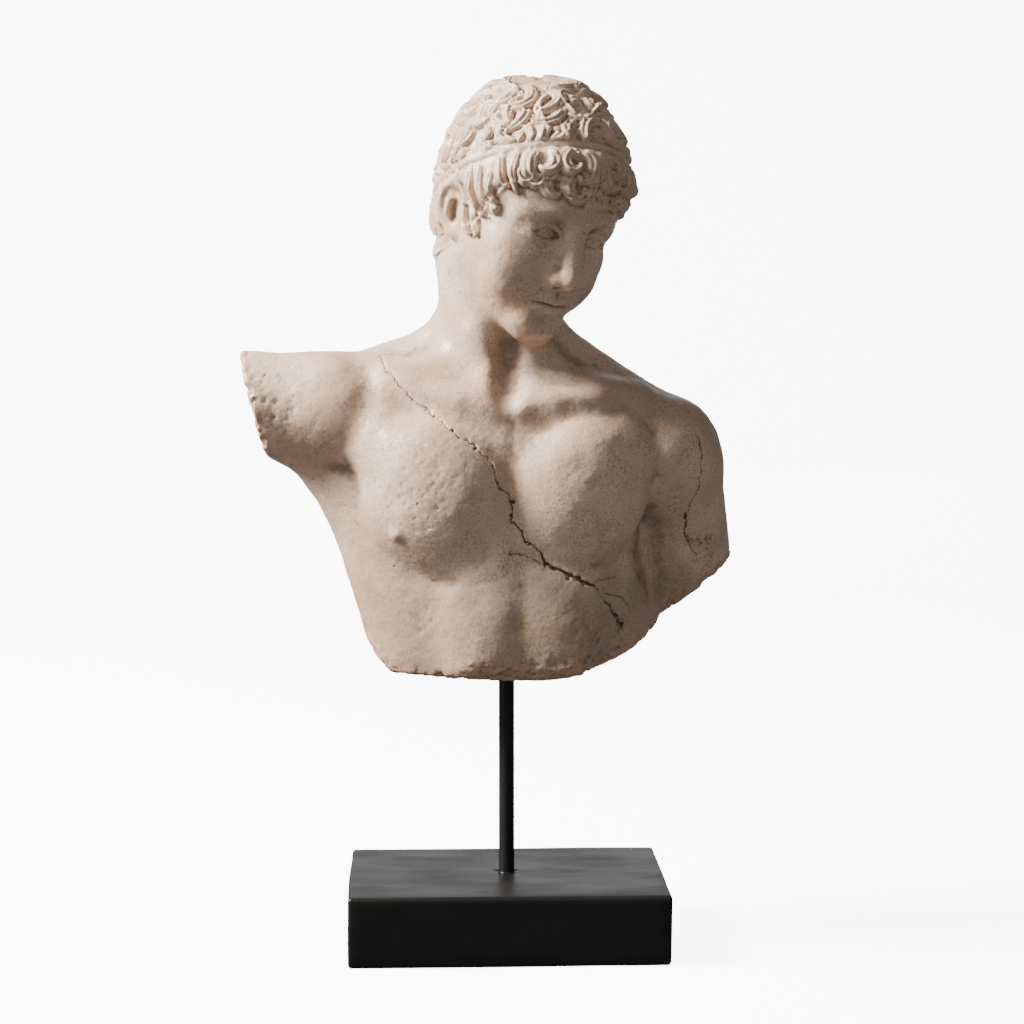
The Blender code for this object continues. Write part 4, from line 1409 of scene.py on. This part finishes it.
class Recipe:
    """A material being built, one node at a time."""

    def __init__(self, name: str) -> None:
        """Starts a material with a plain shader."""
        self.material = bpy.data.materials.new(name)
        self.material.use_nodes = True
        self.tree = self.material.node_tree
        self.shader = self.tree.nodes["Principled BSDF"]
        self.place = self.tree.nodes.new("ShaderNodeTexCoord").outputs["Object"]

    def link(self, source: bpy.types.NodeSocket, target: bpy.types.NodeSocket) -> None:
        """Joins two sockets."""
        self.tree.links.new(source, target)

    def noise(self, scale: float, detail: float = 3.0, stretch: Point = (1, 1, 1)) -> bpy.types.NodeSocket:
        """Adds a noise on the object's own coordinates.

        Args:
            scale: How fine it is, in lumps a metre.
            detail: How many finer layers it has.
            stretch: How each axis is scaled first.

        Returns:
            The noise's value.
        """
        mapping = self.tree.nodes.new("ShaderNodeMapping")
        mapping.inputs["Scale"].default_value = stretch
        self.link(self.place, mapping.inputs["Vector"])
        node = self.tree.nodes.new("ShaderNodeTexNoise")
        node.inputs["Scale"].default_value = scale
        node.inputs["Detail"].default_value = detail
        self.link(mapping.outputs["Vector"], node.inputs["Vector"])
        return node.outputs["Fac"]

    def mark(self, name: str) -> bpy.types.NodeSocket:
        """Reads one of the mesh's own marks.

        Args:
            name: The mark's name.

        Returns:
            Its value.
        """
        node = self.tree.nodes.new("ShaderNodeAttribute")
        node.attribute_name = name
        return node.outputs["Fac"]

    def between(self, value: bpy.types.NodeSocket, low: float, high: float,
                least: float = 0.0, most: float = 1.0) -> bpy.types.NodeSocket:
        """Spreads a value smoothly from least to most as it goes from low to high.

        Args:
            value: The value.
            low: Where it gives the least.
            high: Where it gives the most.
            least: The least.
            most: The most.

        Returns:
            The spread value.
        """
        node = self.tree.nodes.new("ShaderNodeMapRange")
        node.interpolation_type = "SMOOTHSTEP"
        self.link(value, node.inputs["Value"])
        for name, number in (("From Min", low), ("From Max", high), ("To Min", least), ("To Max", most)):
            node.inputs[name].default_value = number
        return node.outputs["Result"]

    def times(self, first: bpy.types.NodeSocket, second: bpy.types.NodeSocket) -> bpy.types.NodeSocket:
        """Multiplies two values.

        Args:
            first: One of them.
            second: The other.

        Returns:
            Their product.
        """
        node = self.tree.nodes.new("ShaderNodeMath")
        node.operation = "MULTIPLY"
        self.link(first, node.inputs[0])
        self.link(second, node.inputs[1])
        return node.outputs["Value"]

    def tint(self, under: bpy.types.NodeSocket | Tone, over: Tone, share: bpy.types.NodeSocket,
             kind: str = "MIX") -> bpy.types.NodeSocket:
        """Lays one colour over another.

        Args:
            under: The colour beneath.
            over: The colour laid on.
            share: How much of it shows.
            kind: The way they blend.

        Returns:
            The blended colour.
        """
        node = self.tree.nodes.new("ShaderNodeMix")
        node.data_type = "RGBA"
        node.blend_type = kind
        self.link(share, node.inputs["Factor"])
        if isinstance(under, Tone):
            node.inputs[6].default_value = (*under.value, 1)
        else:
            self.link(under, node.inputs[6])
        node.inputs[7].default_value = (*over.value, 1)
        return node.outputs[2]

    def bump(self, height: bpy.types.NodeSocket, strength: float, distance: float,
             under: bpy.types.NodeSocket | None = None) -> bpy.types.NodeSocket:
        """Adds a bump, over another one if there is one.

        Args:
            height: How high the surface stands.
            strength: How much of it counts.
            distance: The height of one unit in metres.
            under: The bump beneath.

        Returns:
            The bumped normal.
        """
        node = self.tree.nodes.new("ShaderNodeBump")
        node.inputs["Strength"].default_value = strength
        node.inputs["Distance"].default_value = distance
        self.link(height, node.inputs["Height"])
        if under is not None:
            self.link(under, node.inputs["Normal"])
        return node.outputs["Normal"]


@dataclass(frozen=True)
class CastMarble:
    """Weathered cast marble: pale stone with dark specks, brown patina and painted shade in its fine hollows,
    and painted shade in its broad hollows and low on the figure.
    """

    rough: float = 0.4
    specks: float = 700.0
    grain: float = 1500.0

    def make(self) -> bpy.types.Material:
        """Makes the material.

        Returns:
            The material.
        """
        recipe = Recipe("cast_marble")
        cloud = recipe.between(recipe.noise(16, 4), 0.35, 0.68)
        colour = recipe.tint(Tone.STONE, Tone.TAN, cloud)
        colour = recipe.tint(colour, Tone.GREY, recipe.between(recipe.noise(45, 5), 0.48, 0.75, 0, 0.6))
        # Painted shade: brown laid on lower down the figure, below the chest
        colour = recipe.tint(colour, Tone.PATINA_AND_SHADE, recipe.between(recipe.mark("painted_low_shade"), 0, 1, 0, 0.36))
        colour = recipe.tint(colour, Tone.BREAK, recipe.between(recipe.mark("broken"), 0.2, 0.9, 0, 0.85))
        # Painted shade: brown laid in the broad hollows of the skin
        hollow = recipe.between(recipe.mark("broad_hollow"), 0.6, 1.0, 0, 0.3)
        colour = recipe.tint(colour, Tone.PATINA_AND_SHADE, hollow)
        # Brown patina with painted shade in the fine hollows, such as the drilled gaps of the hair and the
        # cracks
        hollow = recipe.between(recipe.mark("fine_hollow"), 0.54, 0.95, 0, 0.75)
        colour = recipe.tint(colour, Tone.PATINA_AND_SHADE, hollow)
        speck = recipe.between(recipe.noise(self.specks, 3), 0.44, 0.68, 0, 0.55)
        speck = recipe.times(speck, recipe.between(recipe.noise(60, 3), 0.35, 0.65, 0.45, 1.0))
        colour = recipe.tint(colour, Tone.PATINA_AND_SHADE, speck)
        grain = recipe.between(recipe.noise(self.grain, 2), 0.42, 0.66, 0, 0.45)
        colour = recipe.tint(colour, Tone.GREY, grain)
        colour = recipe.tint(colour, Tone.DIRT, recipe.between(recipe.mark("crack"), 0.1, 0.8, 0, 0.88))
        recipe.link(colour, recipe.shader.inputs["Base Color"])
        recipe.shader.inputs["Specular IOR Level"].default_value = 0.5
        rough = recipe.between(recipe.noise(45, 4), 0.3, 0.7, self.rough - 0.12, self.rough + 0.16)
        recipe.link(rough, recipe.shader.inputs["Roughness"])
        normal = recipe.bump(recipe.noise(260, 4), 0.5, 0.0008)
        normal = recipe.bump(recipe.noise(self.grain, 2), 0.3, 0.0003, normal)
        recipe.link(normal, recipe.shader.inputs["Normal"])
        return recipe.material


@dataclass(frozen=True)
class BlackPaint:
    """Satin black paint, brushed on by hand."""

    name: str
    rough: float = 0.36
    uneven: float = 0.25

    def make(self) -> bpy.types.Material:
        """Makes the material.

        Returns:
            The material.
        """
        recipe = Recipe(self.name)
        recipe.shader.inputs["Base Color"].default_value = (*Tone.BLACK.value, 1)
        recipe.shader.inputs["Specular IOR Level"].default_value = 0.22
        brushed = recipe.noise(40, 4, (0.4, 1, 1))
        rough = recipe.between(brushed, 0.3, 0.7, self.rough - 0.06, self.rough + 0.1)
        recipe.link(rough, recipe.shader.inputs["Roughness"])
        normal = recipe.bump(recipe.noise(28, 2, (0.5, 1, 1)), self.uneven, 0.002)
        normal = recipe.bump(recipe.noise(420, 3), 0.12, 0.0003, normal)
        recipe.link(normal, recipe.shader.inputs["Normal"])
        return recipe.material


@dataclass
class Studio:
    """The pale sweep, the soft lights and the camera at the photograph's angle."""

    lens: float = 85.0
    camera_at: Point = (-0.055, -1.5233, 0.4403)
    camera_down: float = 6.09
    camera_turn: float = -2.2
    lit: Point = (0, 0, 0.36)
    warm: Point = (1.0, 0.95, 0.9)
    glow: float = 0.2
    paper_glow: float = 8.0

    def camera(self) -> None:
        """Places the camera."""
        data = bpy.data.cameras.new("camera")
        data.lens = self.lens
        data.sensor_width = 36.0
        camera = placed("camera", data)
        camera.location = self.camera_at
        camera.rotation_euler = (math.radians(90 - self.camera_down), 0, math.radians(self.camera_turn))
        bpy.context.scene.camera = camera

    def lamp(self, name: str, place: Point, power: float, size: float, tint: Point = (1, 1, 1)) -> None:
        """Adds a square lamp that looks at the bust.

        Args:
            name: The lamp's name.
            place: Where it stands.
            power: Its power in watts.
            size: Its side in metres.
            tint: Its colour.
        """
        data = bpy.data.lights.new(name, "AREA")
        data.energy = power
        data.size = size
        data.color = tint
        lamp = placed(name, data)
        lamp.location = place
        lamp.rotation_euler = (Vector(self.lit) - Vector(place)).to_track_quat("-Z", "Y").to_euler()

    def paper(self, name: str, profile: list[tuple[float, float]]) -> None:
        """Adds a wide sheet of lit white paper.

        Args:
            name: Its name.
            profile: The places back and up that it passes through.
        """
        mesh = bpy.data.meshes.new(name)
        with worked(mesh) as bm:
            verts = [bm.verts.new((-4, back, up)) for back, up in profile]
            edges = [bm.edges.new(pair) for pair in zip(verts[:-1], verts[1:])]
            made = bmesh.ops.extrude_edge_only(bm, edges=edges)
            moved = [part for part in made["geom"] if isinstance(part, bmesh.types.BMVert)]
            bmesh.ops.translate(bm, verts=moved, vec=(8, 0, 0))
            bmesh.ops.recalc_face_normals(bm, faces=bm.faces)
        mesh.shade_smooth()
        material = bpy.data.materials.new(name)
        material.use_nodes = True
        shader = material.node_tree.nodes["Principled BSDF"]
        shader.inputs["Base Color"].default_value = (*Tone.PAPER.value, 1)
        shader.inputs["Roughness"].default_value = 0.9
        shader.inputs["Emission Color"].default_value = (1, 1, 1, 1)
        shader.inputs["Emission Strength"].default_value = self.paper_glow
        mesh.materials.append(material)
        sheet = placed(name, mesh)
        sheet.visible_diffuse = False
        sheet.visible_glossy = False

    def sweep(self) -> None:
        """Lays the pale floor, and the backdrop that it curves up into."""
        self.paper("floor", [(-0.4, 0), (1.6, 0)])
        steps = [math.radians(7.5 * step) for step in range(13)]
        curve = [(1.6 + math.sin(step), 1 - math.cos(step)) for step in steps]
        self.paper("backdrop", [*curve, (2.6, 5)])

    def build(self) -> None:
        """Sets up the whole studio."""
        world = bpy.data.worlds.new("studio")
        world.use_nodes = True
        world.node_tree.nodes["Background"].inputs["Color"].default_value = (1, 1, 1, 1)
        world.node_tree.nodes["Background"].inputs["Strength"].default_value = self.glow
        bpy.context.scene.world = world
        self.sweep()
        self.lamp("key", (-1.86, -0.2, 1.75), 315, 0.75, self.warm)
        self.lamp("left_fill", (-1.8, -0.9, 0.4), 8, 1.2, self.warm)
        self.lamp("front_fill", (0.5, -2.4, 0.9), 6, 1.5)
        self.lamp("back_card", (0, 1.9, 0.8), 5.5, 1.5)
        self.camera()


def main() -> None:
    """Builds the object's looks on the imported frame."""
    logging.basicConfig(level=logging.INFO, format="%(name)s: %(message)s")
    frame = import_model()
    low, high = (Vector(corner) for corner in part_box("base"))
    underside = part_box("rod")[1][2] - ROD_IN_BUST

    bust = Bust(underside).build(frame["nodes"]["bust"])
    bust.data.materials.append(CastMarble().make())
    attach(bust, "root")
    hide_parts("bust")
    LOG.info("%s has %d facets", bust.name, len(bust.data.polygons))

    stand = Stand(high.x - low.x, high.y - low.y, high.z)
    block = stand.block()
    block.data.materials.append(BlackPaint("painted_black").make())
    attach(block, "root")
    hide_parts("base")
    LOG.info("%s has %d facets", block.name, len(block.data.polygons))

    rod_paint = BlackPaint("rod_black", 0.42, 0.0).make()
    rod = frame["nodes"]["rod"]
    rod.data.materials.clear()
    rod.data.materials.append(rod_paint)
    bead = stand.bead()
    bead.data.materials.append(BlackPaint("bead_black", 0.18, 0.0).make())
    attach(bead, "root")
    LOG.info("%s has %d facets", bead.name, len(bead.data.polygons))

    Studio().build()
    bpy.context.view_layer.update()


if __name__ == "__main__":
    main()
